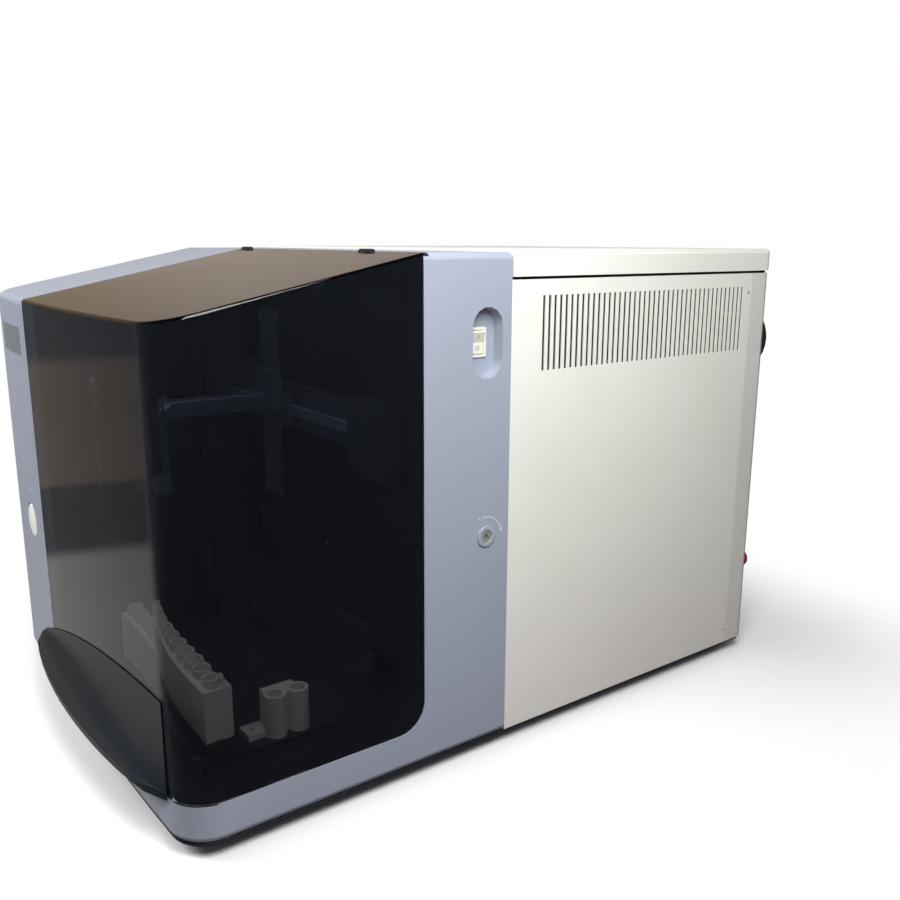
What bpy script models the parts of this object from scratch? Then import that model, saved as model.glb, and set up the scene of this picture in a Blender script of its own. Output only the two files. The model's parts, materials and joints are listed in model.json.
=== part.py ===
"""Haematology analyser with an automatic tube loader behind a hinged, smoke-tinted cover.

X runs to the right, Y to the back, Z up. Lengths are in metres. The pieces are laid out from the middle of
the front face at floor level, and the root empty then shifts them so that the origin lies under the middle.
"""

import math

import bmesh
import bpy
from mathutils import Matrix, Vector

# Housing as a whole
BODY_WIDTH = 0.580
BODY_LENGTH = 0.796
BODY_HEIGHT = 0.518
SHEET = 0.0015
GAP = 0.0003
SEAM = 0.0006
CUT = 0.010
WELD = 0.00001

# Feet and base
FOOT_HEIGHT = 0.0142
FOOT_RADIUS = 0.018
FOOT_TOP_RADIUS = 0.015
FOOT_LIP = 0.003
FOOT_INSET = 0.060
BASE_THICKNESS = 0.003
BASE_INSET = 0.0028
BASE_CORNER = 0.005
FOOT_FRONT = 0.082

# Front frame
FRAME_WALL = 0.0035
FRAME_ROUND = 0.0065
FRONT_BOW = 0.008
BOW_APEX = 0.0
RIGHT_CORNER_RADIUS = 0.040
LEFT_CORNER_RADIUS = 0.032
SLOPE_DROP = 0.055
BAND_HEIGHT = 0.039
FLOOR_RIM = 0.024
WINDOW_RIM = 0.018
WINDOW_SILL = 0.045
WINDOW_HEAD = 0.024

# Loader cover
COVER_WIDTH = 0.404
COVER_LENGTH = 0.263
POST_LENGTH = 0.107
COVER_WALL = 0.003
COVER_CORNER_RADIUS = 0.030
COVER_ROUND = 0.0025

# Pull lip of the cover
LIP_OVERHANG = 0.064
LIP_RIGHT_INSET = 0.036
LIP_DEPTH = 0.025
LIP_RISE = 0.088
LIP_RIM_Z = 0.045
LIP_SKIRT = 0.008
LIP_EDGE = 0.0016
LIP_HOLLOW_MARGIN = 0.052
LIP_BACKING = 0.0012
LIP_FULLNESS_SHARE = 0.8
LIP_HOLLOW_START = 40

# Cover hinges
HINGE_LEFT_INSET = 0.022
HINGE_RIGHT_INSET = 0.100
KNUCKLE_RADIUS = 0.0026
KNUCKLE_CLEARANCE = 0.0006
PIN_RADIUS = 0.0011
PIN_CLEARANCE = 0.0004
LEAF_KNUCKLE = 0.010
BLOCK_KNUCKLE = 0.007
LEAF_LENGTH = 0.028
LEAF_WIDTH = 0.026
LEAF_THICKNESS = 0.002
HINGE_NOTCH_DEPTH = 0.0105
HINGE_NOTCH_DROP = 0.008

# Cabinet
PANEL_STEP = 0.001
PANEL_DROP = 0.027
PANEL_SEAM = 0.0008
PANEL_FLANGE = 0.014
STRIP_DEPTH = 0.036
REAR_CORNER_RADIUS = 0.008
VENT_FRONT_MARGIN = 0.0425
VENT_REAR_MARGIN = 0.0159
VENT_COUNT = 42
VENT_WIDTH_SHARE = 0.45
VENT_HEIGHT = 0.0775
VENT_DROP = 0.0165
LID_SKIRT_DROP = 0.024
LID_RISE = 0.0025
LID_OVERHANG = 0.001
LID_REAR_OVERHANG = 0.002
LID_CORNER_RADIUS = 0.012
LID_ROUND = 0.005
GASKET_INSET = 0.004
GASKET_WIDTH = 0.008

# Power switch in its recess
POCKET_INSET = 0.030
POCKET_DROP = 0.0877
POCKET_WIDTH = 0.038
POCKET_HEIGHT = 0.071
POCKET_DEPTH = 0.013
POCKET_TAPER = 0.0015
SWITCH_SHIFT = 0.0045
SWITCH_WIDTH = 0.022
SWITCH_HEIGHT = 0.030
SWITCH_FLANGE = 0.0014
SWITCH_BODY_WIDTH = 0.0185
SWITCH_BODY_HEIGHT = 0.0265
SWITCH_BODY_DEPTH = 0.017
SWITCH_CAVITY_WIDTH = 0.0155
SWITCH_CAVITY_HEIGHT = 0.0242
SWITCH_CAVITY_DEPTH = 0.009
ROCKER_WIDTH = 0.0147
ROCKER_RADIUS = 0.0117
ROCKER_TOP = 0.0034
ROCKER_MIDDLE = 0.0013
ROCKER_BOTTOM = 0.0038
ROCKER_TILT = math.radians(9)

# Quarter-turn lock
LOCK_RISE_SHARE = 0.44595
LOCK_FLANGE_RADIUS = 0.0115
LOCK_FLANGE = 0.0016
LOCK_BARREL_RADIUS = 0.0088
LOCK_BARREL_LENGTH = 0.020
LOCK_CORE_RADIUS = 0.0064
LOCK_CORE_RECESS = 0.0008
LOCK_KEY_RADIUS = 0.0042
LOCK_KEY_SIDES = 3
LOCK_KEY_DEPTH = 0.004
LOCK_CAM_LENGTH = 0.021
LOCK_CAM_WIDTH = 0.009
LOCK_CAM_THICKNESS = 0.0025

# Left column
BUTTON_PLACE_SHARE = 0.6307
BUTTON_Z = 0.1915
BUTTON_RADIUS = 0.0205
BUTTON_DOME = 0.0008
BUTTON_TRAVEL = 0.0015
BUTTON_STEM = 0.004
BUTTON_FLANGE = 0.0225
DISH_RADIUS = 0.0235
DISH_DEPTH = 0.0012
BRACKET_Y = 0.046
BRACKET_HEIGHT = 0.110
BRACKET_FLANGE = 0.014
LAMP_PLACE_SHARE = 0.676
LAMP_Z = 0.2324
LAMP_RADIUS = 0.0028
LAMP_LENGTH = 0.007
LABEL_PLACE_SHARE = 0.54
LABEL_DROP = 0.1046
LABEL_WIDTH_SHARE = 0.58
LABEL_HEIGHT = 0.033
LABEL_DEPTH = 0.0006

# Loader bay
PAN_THICKNESS = 0.001
PAN_REAR_INSET = 0.029
DECK_TOP = 0.050
DECK_THICKNESS = 0.0018
DECK_SUPPORT = 0.002
DECK_FRONT = 0.040
DECK_REAR_INSET = 0.045
DECK_RIGHT_INSET = 0.050
DECK_LEFT_INSET = 0.006
DECK_RIB = 0.004
DECK_RIB_WIDTH = 0.003
TRAY_WALL_INSET = 0.0315
TRAY_WALL_TOP = 0.140
TRAY_WALL_FLANGE = 0.008
TRAY_WALL_RIGHT_INSET = 0.056
TRAY_SLOT_HEIGHT = 0.005
TRAY_SLOT_WIDTH = 0.026
CUP_INSET = 0.034
CUP_REAR_INSET = 0.060
CUP_TOP = 0.122
CUP_NECK = 0.086
CUP_RADIUS = 0.019
CUP_STEM_RADIUS = 0.008
CUP_WALL = 0.002

# Tube rack and adapter
RACK_PLACES = 10
RACK_PITCH = 0.0235
RACK_RIGHT_INSET = 0.052
RACK_Y = 0.064
RACK_DEPTH = 0.028
RACK_SHOULDER = 0.121
RACK_TOP = 0.130
RACK_COLLAR = 0.0100
RACK_BORE = 0.0078
RACK_SLIT = 0.0046
RACK_FLOOR = 0.006
RACK_TAG_HEIGHT = 0.034
RACK_TAG_DEPTH = 0.001
RACK_TRAVEL_CLEARANCE = 0.001
ADAPTER_Y = 0.138
ADAPTER_TOP = 0.094
ADAPTER_LOBE = 0.0112
ADAPTER_PITCH = 0.0245
ADAPTER_DEPTH = 0.036
ADAPTER_FOOT = 0.018
ADAPTER_FOOT_HEIGHT = 0.006
ADAPTER_NOTCH = 0.016
ADAPTER_HOLE = 0.0025

# Cross beam and gripper
BEAM_LEFT_INSET = 0.054
BEAM_RIGHT_INSET = 0.022
BEAM_REAR_INSET = 0.034
BEAM_DEPTH = 0.026
BEAM_HEIGHT = 0.040
BEAM_DROP = 0.147
BEAM_SLOT = 0.006
BEAM_SLOT_MOUTH = 0.004
BRACKET_THICKNESS = 0.003
BRACKET_REACH_DOWN = 0.031
BRACKET_REACH_UP = 0.016
BRACKET_REAR_INSET = 0.071
BRACKET_NOSE = 0.030
RAIL_HEIGHT = 0.010
RAIL_DEPTH = 0.006
RAIL_GROOVE = 0.002
CARRIAGE_INSET = 0.2025
CARRIAGE_WIDTH = 0.050
CARRIAGE_DEPTH = 0.012
CARRIAGE_HEIGHT = 0.034
GUIDE_WIDTH = 0.036
GUIDE_THICKNESS = 0.004
GUIDE_REACH_DOWN = 0.076
GUIDE_DROP = 0.060
LIFT_HEIGHT = 0.044
LIFT_WIDTH = 0.048
LIFT_THICKNESS = 0.010
LIFT_LIP = 0.0035
ARM_WIDTH = 0.018
ARM_HEIGHT = 0.020
SHAFT_DROP = 0.158
SHAFT_Y = 0.084
HEAD_RADIUS = 0.015
HEAD_DEPTH = 0.007
HEAD_WIDTH = 0.020
HEAD_DROP = 0.070
HEAD_FORK = 0.024
JAW_WIDTH = 0.034
JAW_HEIGHT = 0.014
FINGER_OPENING = 0.011
FINGER_THICKNESS = 0.0045
FINGER_DROP = 0.026
FINGER_DEPTH = 0.014
DRIVE_RADIUS = 0.018
DRIVE_LENGTH = 0.032

# Probe
TOWER_WIDTH = 0.036
TOWER_DEPTH = 0.044
TOWER_DROP = 0.098
TOWER_BACK_GAP = 0.010
TOWER_WALL = 0.003
PROBE_DROP = 0.166
PROBE_BLOCK_HEIGHT = 0.040
PROBE_ARM_HEIGHT = 0.012
PROBE_ARM_WIDTH = 0.014
PROBE_Y = 0.066
NEEDLE_RADIUS = 0.0009
NEEDLE_HUB_RADIUS = 0.004
NEEDLE_TIP = 0.200
NEEDLE_HUB_HEIGHT = 0.016
NEEDLE_COLLAR_SHARE = 1.5

# Exhaust fan
FAN_INSET = 0.066
FAN_DROP = 0.1138
FAN_RADIUS = 0.046
FAN_BORE = 0.0405
FAN_DEPTH = 0.036
FAN_ROUND = 0.006
FAN_HUB = 0.016
FAN_HUB_DEPTH = 0.018
FAN_STRUT = 0.005
FAN_STRUT_DEPTH = 0.004
FAN_STRUTS = 3
FAN_STRUT_START = 30
FAN_BLADES = 7
FAN_BLADE_TIP_GAP = 0.0015
FAN_BLADE_THICKNESS = 0.0016
FAN_BLADE_PITCH = math.radians(38)
FAN_BLADE_CHORD = 0.017
GUARD_RINGS = 4
GUARD_WIRE = 0.0009
GUARD_SPOKES = 4

# Back fittings
PORT_Z = 0.097
PORT_FIRST_INSET = 0.035
PORT_PITCH = 0.035
PORT_COUNT = 4
PORT_NUT = 0.0125
PORT_NUT_DEPTH = 0.006
PORT_NUT_SIDES = 6
PORT_BODY = 0.0085
PORT_BODY_LENGTH = 0.018
PORT_NOZZLE = 0.005
PORT_NOZZLE_LENGTH = 0.033
PORT_BORE = 0.0018
PORT_PLATE_MARGIN = 0.004
PORT_PLATE = 0.0018
CAP_RADIUS = 0.0125
CAP_LENGTH = 0.016
CAP_GRIPS = 10
CAP_GRIP_DEPTH = 0.0009
INLET_INSET = 0.085
INLET_Z = 0.075
INLET_WIDTH = 0.050
INLET_HEIGHT = 0.032
INLET_FLANGE = 0.003
INLET_BODY_WIDTH = 0.030
INLET_BODY_HEIGHT = 0.023
INLET_BODY_DEPTH = 0.020
INLET_SOCKET_WIDTH = 0.0245
INLET_SOCKET_HEIGHT = 0.0165
INLET_SOCKET_DEPTH = 0.016
INLET_SOCKET_CORNER = 0.004
INLET_PIN_WIDTH = 0.002
INLET_PIN_HEIGHT = 0.004
INLET_PIN_PITCH = 0.007
INLET_PIN_LENGTH = 0.011
DATA_INSET = 0.085
DATA_Z = 0.250
DATA_WIDTH = 0.060
DATA_HEIGHT = 0.080
DATA_PLATE = 0.0018
DATA_BOX_DEPTH = 0.014
DATA_PORT_WIDTH = 0.016
DATA_PORT_HEIGHT = 0.013
DATA_PORT_DEPTH = 0.011
DATA_PORT_PITCH = 0.024
DATA_PORTS = 3
DATA_BOX_MARGIN = 0.006

# Units in the cabinet
SUPPLY_SIZE = (0.110, 0.190, 0.062)
SUPPLY_INSET = 0.090
SUPPLY_REAR_INSET = 0.156
SUPPLY_SLOT = 0.003
SUPPLY_SLOT_PITCH = 0.009
SUPPLY_SLOTS = 12
SUPPLY_SLOT_SHARE = 0.7
PUMP_INSET = 0.100
PUMP_REAR_SHARE = 0.3075
PUMP_RADIUS = 0.036
PUMP_LENGTH_SHARE = 0.2817
PUMP_HEAD_SHARE = 0.108
PUMP_HEAD_HEIGHT = 0.030
PUMP_SADDLE = 0.012
PUMP_SADDLE_WIDTH = 0.056
PUMP_SADDLE_SHARE = 0.8
PUMP_BLOCK_SHARE = 1.6
BOARD_WIDTH = 0.200
BOARD_HEIGHT = 0.240
BOARD_Z = 0.300
BOARD_INSET = 0.150
BOARD_THICKNESS = 0.0018
BOARD_STANDOFF = 0.009
BOARD_POST_RADIUS = 0.003
BOARD_POST_INSET = 0.010
TABLE_WIDTH = 0.280
TABLE_DEPTH_SHARE = 0.352
TABLE_HEIGHT = 0.220
TABLE_INSET = 0.220
TABLE_GAP_SHARE = 0.0587
OPTICS_WIDTH = 0.220
OPTICS_HEIGHT = 0.055
OPTICS_LENGTH_SHARE = 0.733
OPTICS_TUBE_RADIUS = 0.017
OPTICS_TUBE_LENGTH = 0.060

# Counts of steps round the curves
ARC_STEPS = 7
BOW_STEPS = 10
ROUND_STEPS = 3
ROUND_SIDES = 24
SMALL_SIDES = 12
LIP_STEPS = 16
LIP_CURVE_STEPS = 6
FAN_SIDES = 32
HUB_SIDES = 28
WIRE_SIDES = 6
WIRE_STEPS = 5
SMOOTH_ANGLE = math.radians(32)
ROUND_PROFILE_SHARE = 0.5
PARALLEL_SHARE = 0.01

# Levels and edges that the sizes above give
LEFT = -BODY_WIDTH / 2
RIGHT = BODY_WIDTH / 2
BODY_BOTTOM = FOOT_HEIGHT + GAP + BASE_THICKNESS + GAP
BODY_TOP = BODY_BOTTOM + BODY_HEIGHT
BAND_TOP = BODY_BOTTOM + BAND_HEIGHT
COVER_LEFT = RIGHT - COVER_WIDTH
FRAME_DEPTH = COVER_LENGTH + POST_LENGTH
BAY_BACK = COVER_LENGTH + FRAME_WALL + GAP
BULKHEAD_FRONT = FRAME_DEPTH + GAP
BULKHEAD_BACK = BULKHEAD_FRONT + SHEET
CABINET_SIDE = RIGHT - PANEL_STEP
PANEL_INNER = CABINET_SIDE - SHEET
PANEL_TOP = BODY_TOP - PANEL_DROP
STRIP_FRONT = BODY_LENGTH - STRIP_DEPTH
REAR_INNER = BODY_LENGTH - SHEET
SLOPE_SHARE = SLOPE_DROP / COVER_LENGTH
HINGE_Y = COVER_LENGTH
HINGE_PLACES = (COVER_LEFT + HINGE_LEFT_INSET, RIGHT - HINGE_RIGHT_INSET)
VENT_TOP = PANEL_TOP - VENT_DROP
VENT_FIRST = FRAME_DEPTH + VENT_FRONT_MARGIN
VENT_PITCH = (STRIP_FRONT - VENT_REAR_MARGIN - VENT_FIRST) / (VENT_COUNT - 1 + VENT_WIDTH_SHARE)
VENT_WIDTH = VENT_PITCH * VENT_WIDTH_SHARE
LID_SKIRT_BOTTOM = BODY_TOP - LID_SKIRT_DROP
POCKET_Y = FRAME_DEPTH - POCKET_INSET
POCKET_Z = BODY_TOP - POCKET_DROP
SWITCH_Y = POCKET_Y - SWITCH_SHIFT
LOCK_Z = BODY_BOTTOM + BODY_HEIGHT * LOCK_RISE_SHARE
COLUMN_WIDTH = COVER_LEFT - LEFT
BUTTON_X = LEFT + COLUMN_WIDTH * BUTTON_PLACE_SHARE
LAMP_X = LEFT + COLUMN_WIDTH * LAMP_PLACE_SHARE
LABEL_X = LEFT + COLUMN_WIDTH * LABEL_PLACE_SHARE
LABEL_WIDTH = COLUMN_WIDTH * LABEL_WIDTH_SHARE
LABEL_Z = BODY_TOP - LABEL_DROP

# Places in the loader bay that follow from them
PAN_TOP = BAND_TOP + GAP + PAN_THICKNESS
DECK_Z = BODY_BOTTOM + DECK_TOP
DECK_BACK = COVER_LENGTH - DECK_REAR_INSET
TRAY_WALL_Y = COVER_LENGTH - TRAY_WALL_INSET
CUP_X = RIGHT - CUP_INSET
CUP_Y = COVER_LENGTH - CUP_REAR_INSET
RACK_LEFT = RIGHT - RACK_RIGHT_INSET - RACK_PLACES * RACK_PITCH
BEAM_LEFT = COVER_LEFT + BEAM_LEFT_INSET
BEAM_Y = COVER_LENGTH - BEAM_REAR_INSET
BEAM_TOP = BODY_TOP - BEAM_DROP
BEAM_BOTTOM = BEAM_TOP - BEAM_HEIGHT
BEAM_FRONT = BEAM_Y - BEAM_DEPTH / 2
RAIL_FRONT = BEAM_FRONT - GAP - RAIL_DEPTH
CARRIAGE_X = RIGHT - CARRIAGE_INSET
GUIDE_BACK = RAIL_FRONT - GAP - CARRIAGE_DEPTH + RAIL_DEPTH
GUIDE_FRONT = GUIDE_BACK - GUIDE_THICKNESS
SHAFT_Z = BODY_TOP - SHAFT_DROP
PROBE_Z = BODY_TOP - PROBE_DROP

# Places on the back and in the cabinet that follow from them
FAN_X = RIGHT - FAN_INSET
FAN_Z = BODY_TOP - FAN_DROP
INLET_X = LEFT + INLET_INSET
DATA_X = LEFT + DATA_INSET
SUPPLY_X = LEFT + SUPPLY_INSET
SUPPLY_Y = BODY_LENGTH - SUPPLY_REAR_INSET
PUMP_X = RIGHT - PUMP_INSET
CABINET_LENGTH = BODY_LENGTH - FRAME_DEPTH
PUMP_Y = BODY_LENGTH - CABINET_LENGTH * PUMP_REAR_SHARE
PUMP_LENGTH = CABINET_LENGTH * PUMP_LENGTH_SHARE
PUMP_HEAD_LENGTH = CABINET_LENGTH * PUMP_HEAD_SHARE
BOARD_X = LEFT + BOARD_INSET
TABLE_X = RIGHT - TABLE_INSET
TABLE_DEPTH = CABINET_LENGTH * TABLE_DEPTH_SHARE
TABLE_Y = FRAME_DEPTH + CABINET_LENGTH * TABLE_GAP_SHARE + TABLE_DEPTH / 2
OPTICS_SIZE = (OPTICS_WIDTH, TABLE_DEPTH * OPTICS_LENGTH_SHARE, OPTICS_HEIGHT)

PARTS = "haematology_analyser"
TURNED_AXES = {"X": Matrix(((0, 0, 1, 0), (1, 0, 0, 0), (0, 1, 0, 0), (0, 0, 0, 1)))}
TURNED_AXES["Y"] = Matrix(((1, 0, 0, 0), (0, 0, 1, 0), (0, 1, 0, 0), (0, 0, 0, 1)))
TURNED_AXES["Z"] = Matrix.Identity(4)


def clear_scene():
    for obj in list(bpy.data.objects):
        bpy.data.objects.remove(obj)


def parts_collection():
    found = bpy.data.collections.get(PARTS)
    if found is None:
        found = bpy.data.collections.new(PARTS)
        bpy.context.scene.collection.children.link(found)
    return found


def link(name, data):
    obj = bpy.data.objects.new(name, data)
    parts_collection().objects.link(obj)
    return obj


def edit(obj, change):
    """Runs change on the object's mesh as a bmesh."""
    bm = bmesh.new()
    bm.from_mesh(obj.data)
    change(bm)
    bm.to_mesh(obj.data)
    bm.free()
    return obj


def bake(obj):
    """Replaces the object's mesh by what its modifiers make of it."""
    graph = bpy.context.evaluated_depsgraph_get()
    mesh = bpy.data.meshes.new_from_object(obj.evaluated_get(graph))
    obj.modifiers.clear()
    obj.data = mesh
    return obj


def combine(obj, others, operation):
    for other in others:
        modifier = obj.modifiers.new(operation.lower(), "BOOLEAN")
        modifier.operation = operation
        modifier.object = other
        bake(obj)
        bpy.data.objects.remove(other)
    return obj


def cut(obj, *cutters):
    return combine(obj, cutters, "DIFFERENCE")


def join(obj, *others):
    return combine(obj, others, "UNION")


def block(name, x_range, y_range, z_range):
    """A box between the two values given along each axis."""
    ranges = (x_range, y_range, z_range)
    size = Matrix.Diagonal([high - low for low, high in ranges] + [1])
    centre = Matrix.Translation([(low + high) / 2 for low, high in ranges])
    obj = link(name, bpy.data.meshes.new(name))
    return edit(obj, lambda bm: bmesh.ops.create_cube(bm, size=1, matrix=centre @ size))


def about(middle, size):
    """The range of the given size about a middle value."""
    return (middle - size / 2, middle + size / 2)


def rod(name, start, end, radius, sides=SMALL_SIDES, end_radius=None):
    """A cylinder or cone from one point to another."""
    start, end = Vector(start), Vector(end)
    turn = (end - start).to_track_quat("Z", "Y").to_matrix().to_4x4()
    place = Matrix.Translation((start + end) / 2) @ turn
    last = radius if end_radius is None else end_radius
    size = {"radius1": radius, "radius2": last, "depth": (end - start).length}
    size |= {"segments": sides, "cap_ends": True}
    obj = link(name, bpy.data.meshes.new(name))
    return edit(obj, lambda bm: bmesh.ops.create_cone(bm, matrix=place, **size))


def outline_solid(name, loops, span, axis="Z"):
    """Extrudes closed outlines, the first of which may hold the others as holes, over span along an axis."""
    curve = bpy.data.curves.new(name, "CURVE")
    curve.dimensions = "2D"
    curve.fill_mode = "BOTH"
    curve.extrude = (span[1] - span[0]) / 2
    for loop in loops:
        spline = curve.splines.new("POLY")
        spline.points.add(len(loop) - 1)
        for point, (across, up) in zip(spline.points, loop):
            point.co = (across, up, 0, 1)
        spline.use_cyclic_u = True
    guide = link(name + "_outline", curve)
    graph = bpy.context.evaluated_depsgraph_get()
    obj = link(name, bpy.data.meshes.new_from_object(guide.evaluated_get(graph)))
    bpy.data.objects.remove(guide)

    def settle(bm):
        bmesh.ops.remove_doubles(bm, verts=bm.verts, dist=WELD)
        place = TURNED_AXES[axis] @ Matrix.Translation((0, 0, (span[0] + span[1]) / 2))
        bmesh.ops.transform(bm, matrix=place, verts=bm.verts)
        bmesh.ops.recalc_face_normals(bm, faces=bm.faces)

    return edit(obj, settle)


def turned(name, profile, origin, axis="Z", sides=ROUND_SIDES):
    """Turns a profile of (radius, height) points, listed from top to bottom, about an axis through origin."""
    mesh = bpy.data.meshes.new(name)
    edges = [(i, i + 1) for i in range(len(profile) - 1)]
    mesh.from_pydata([(radius, 0, height) for radius, height in profile], edges, [])
    obj = link(name, mesh)
    screw = obj.modifiers.new("turn", "SCREW")
    screw.steps = sides
    screw.render_steps = sides
    screw.use_merge_vertices = True
    screw.merge_threshold = WELD
    bake(obj)

    def settle(bm):
        bmesh.ops.remove_doubles(bm, verts=bm.verts, dist=WELD)
        bmesh.ops.transform(bm, matrix=Matrix.Translation(origin) @ TURNED_AXES[axis], verts=bm.verts)
        bmesh.ops.recalc_face_normals(bm, faces=bm.faces)

    return edit(obj, settle)


def loft(name, sections):
    """Joins sections of equally many points into one closed skin with flat ends."""

    def build(bm):
        rings = [[bm.verts.new(point) for point in section] for section in sections]
        for first, second in zip(rings, rings[1:]):
            for i in range(len(first)):
                j = (i + 1) % len(first)
                bm.faces.new((first[i], first[j], second[j], second[i]))
        bm.faces.new(rings[0])
        bm.faces.new(rings[-1])
        bmesh.ops.recalc_face_normals(bm, faces=bm.faces)

    return edit(link(name, bpy.data.meshes.new(name)), build)


def is_sharp(edge):
    return len(edge.link_faces) == 2 and edge.calc_face_angle() > SMOOTH_ANGLE


def round_edges(obj, width, chosen, steps=ROUND_STEPS):
    """Rounds the sharp edges for which chosen gives true."""

    def change(bm):
        bmesh.ops.dissolve_limit(bm, angle_limit=0.001, verts=bm.verts, edges=bm.edges)
        edges = [edge for edge in bm.edges if is_sharp(edge) and chosen(edge)]
        shape = {"offset": width, "segments": steps, "profile": ROUND_PROFILE_SHARE}
        bmesh.ops.bevel(bm, geom=edges, offset_type="OFFSET", affect="EDGES", **shape)

    return edit(obj, change)


def all_points(edge, test):
    return all(test(vert.co) for vert in edge.verts)


def runs_along(edge, axis):
    """True for an edge parallel to the axis of this number."""
    start, end = (vert.co for vert in edge.verts)
    return abs(abs((end - start).normalized()[axis]) - 1) < PARALLEL_SHARE


def arc(centre_x, centre_y, radius, start, end, steps=ARC_STEPS):
    """Points from one angle to another in degrees, both ends included."""
    angles = [math.radians(start + (end - start) * i / steps) for i in range(steps + 1)]
    return [(centre_x + radius * math.cos(a), centre_y + radius * math.sin(a)) for a in angles]


def stadium(centre_x, centre_y, width, height):
    """An upright outline with half-round ends."""
    reach = (height - width) / 2
    top = arc(centre_x, centre_y + reach, width / 2, 0, 180)
    return top + arc(centre_x, centre_y - reach, width / 2, 180, 360)


def rectangle(x_range, y_range):
    left, right = x_range
    low, high = y_range
    return [(left, low), (right, low), (right, high), (left, high)]


def chamfered(x_range, y_range, chamfer):
    """A rectangle with its four corners cut off."""
    left, right = x_range
    low, high = y_range
    points = [(left + chamfer, low), (right - chamfer, low), (right, low + chamfer), (right, high - chamfer)]
    points += [(right - chamfer, high), (left + chamfer, high)]
    return points + [(left, high - chamfer), (left, low + chamfer)]


def round_rectangle(x_range, y_range, radius):
    left, right = x_range
    low, high = y_range
    steps = ROUND_STEPS
    points = arc(left + radius, low + radius, radius, 180, 270, steps)
    points += arc(right - radius, low + radius, radius, 270, 360, steps)
    points += arc(right - radius, high - radius, radius, 0, 90, steps)
    return points + arc(left + radius, high - radius, radius, 90, 180, steps)


def front_y(x):
    """The bowed front face: at zero over the apex of the bow, further back to either side."""
    share = (x - BOW_APEX) / (LEFT - BOW_APEX)
    return FRONT_BOW * share * share


def front_slope(x):
    return 2 * FRONT_BOW * (x - BOW_APEX) / (LEFT - BOW_APEX) ** 2


def slope_z(y):
    """Height of the sloped top at a distance from the front."""
    return BODY_TOP - SLOPE_DROP + SLOPE_SHARE * y


def bow_points(first, last, inset):
    """Points of the front face between two places, both left out."""
    places = [first + (last - first) * i / BOW_STEPS for i in range(1, BOW_STEPS)]
    return [(x, front_y(x) + inset) for x in places]


def right_corner(inset):
    centre = RIGHT - RIGHT_CORNER_RADIUS
    return arc(centre, front_y(centre) + RIGHT_CORNER_RADIUS, RIGHT_CORNER_RADIUS - inset, 270, 360)


def body_outline(inset, rear):
    """Plan of the housing: straight sides, a bowed front and two rounded front corners."""
    centre = LEFT + LEFT_CORNER_RADIUS
    points = [(LEFT + inset, rear)]
    points += arc(centre, front_y(centre) + LEFT_CORNER_RADIUS, LEFT_CORNER_RADIUS - inset, 180, 270)
    points += bow_points(centre, RIGHT - RIGHT_CORNER_RADIUS, inset)
    points += right_corner(inset)
    return points + [(RIGHT - inset, rear)]


def cover_outline(inset, left, rear):
    """Plan of the cover: open ended at the left and at the rear."""
    points = [(left, rear), (left, front_y(left) + inset)]
    points += bow_points(left, RIGHT - RIGHT_CORNER_RADIUS, inset)
    points += right_corner(inset)
    return points + [(RIGHT - inset, rear)]


def slope_cut(obj, inset):
    """Cuts off what stands above the sloped top, moved inwards by inset."""
    along = Vector((0, COVER_LENGTH, SLOPE_DROP)).normalized()
    normal = Vector((0, -along.z, along.y))
    point = Vector((0, COVER_LENGTH, BODY_TOP)) - normal * inset

    def change(bm):
        everything = list(bm.verts) + list(bm.edges) + list(bm.faces)
        options = {"plane_co": point, "plane_no": normal, "dist": WELD, "clear_outer": True}
        found = bmesh.ops.bisect_plane(bm, geom=everything, **options)
        rim = [item for item in found["geom_cut"] if isinstance(item, bmesh.types.BMEdge)]
        bmesh.ops.edgenet_fill(bm, edges=rim)
        bmesh.ops.recalc_face_normals(bm, faces=bm.faces)

    return edit(obj, change)


def bay_profile(grow):
    """Side view of the loader bay, which the cover closes, grown outwards by a wall."""
    low = BAND_TOP - grow
    back = COVER_LENGTH + grow
    radius = COVER_CORNER_RADIUS + grow
    high = BODY_TOP + CUT
    corner = arc(back - radius, low + radius, radius, 270, 360)
    return [(-CUT, low)] + corner + [(back, high), (-CUT, high)]


def pocket_cutter(grow):
    """The drafted, pill-shaped recess for the power switch, grown by a wall."""
    depth = POCKET_DEPTH + grow
    outer_grow = 2 * grow + 2 * POCKET_TAPER * CUT / POCKET_DEPTH
    inner_grow = 2 * grow - 2 * POCKET_TAPER
    height = POCKET_Z
    outer = stadium(POCKET_Y, height, POCKET_WIDTH + outer_grow, POCKET_HEIGHT + outer_grow)
    inner = stadium(POCKET_Y, height, POCKET_WIDTH + inner_grow, POCKET_HEIGHT + inner_grow)
    sections = [[(RIGHT + CUT, y, z) for y, z in outer], [(RIGHT - depth, y, z) for y, z in inner]]
    return loft("pocket", sections)


def hinge_notches(name):
    """Relief for the hinge knuckles in the rear edge of the slope."""
    found = []
    for place in HINGE_PLACES:
        half = LEAF_KNUCKLE / 2 + BLOCK_KNUCKLE + 2 * GAP
        radius = KNUCKLE_RADIUS + KNUCKLE_CLEARANCE
        found.append(rod(name, (place - half, HINGE_Y, BODY_TOP), (place + half, HINGE_Y, BODY_TOP), radius))
    return found


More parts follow.
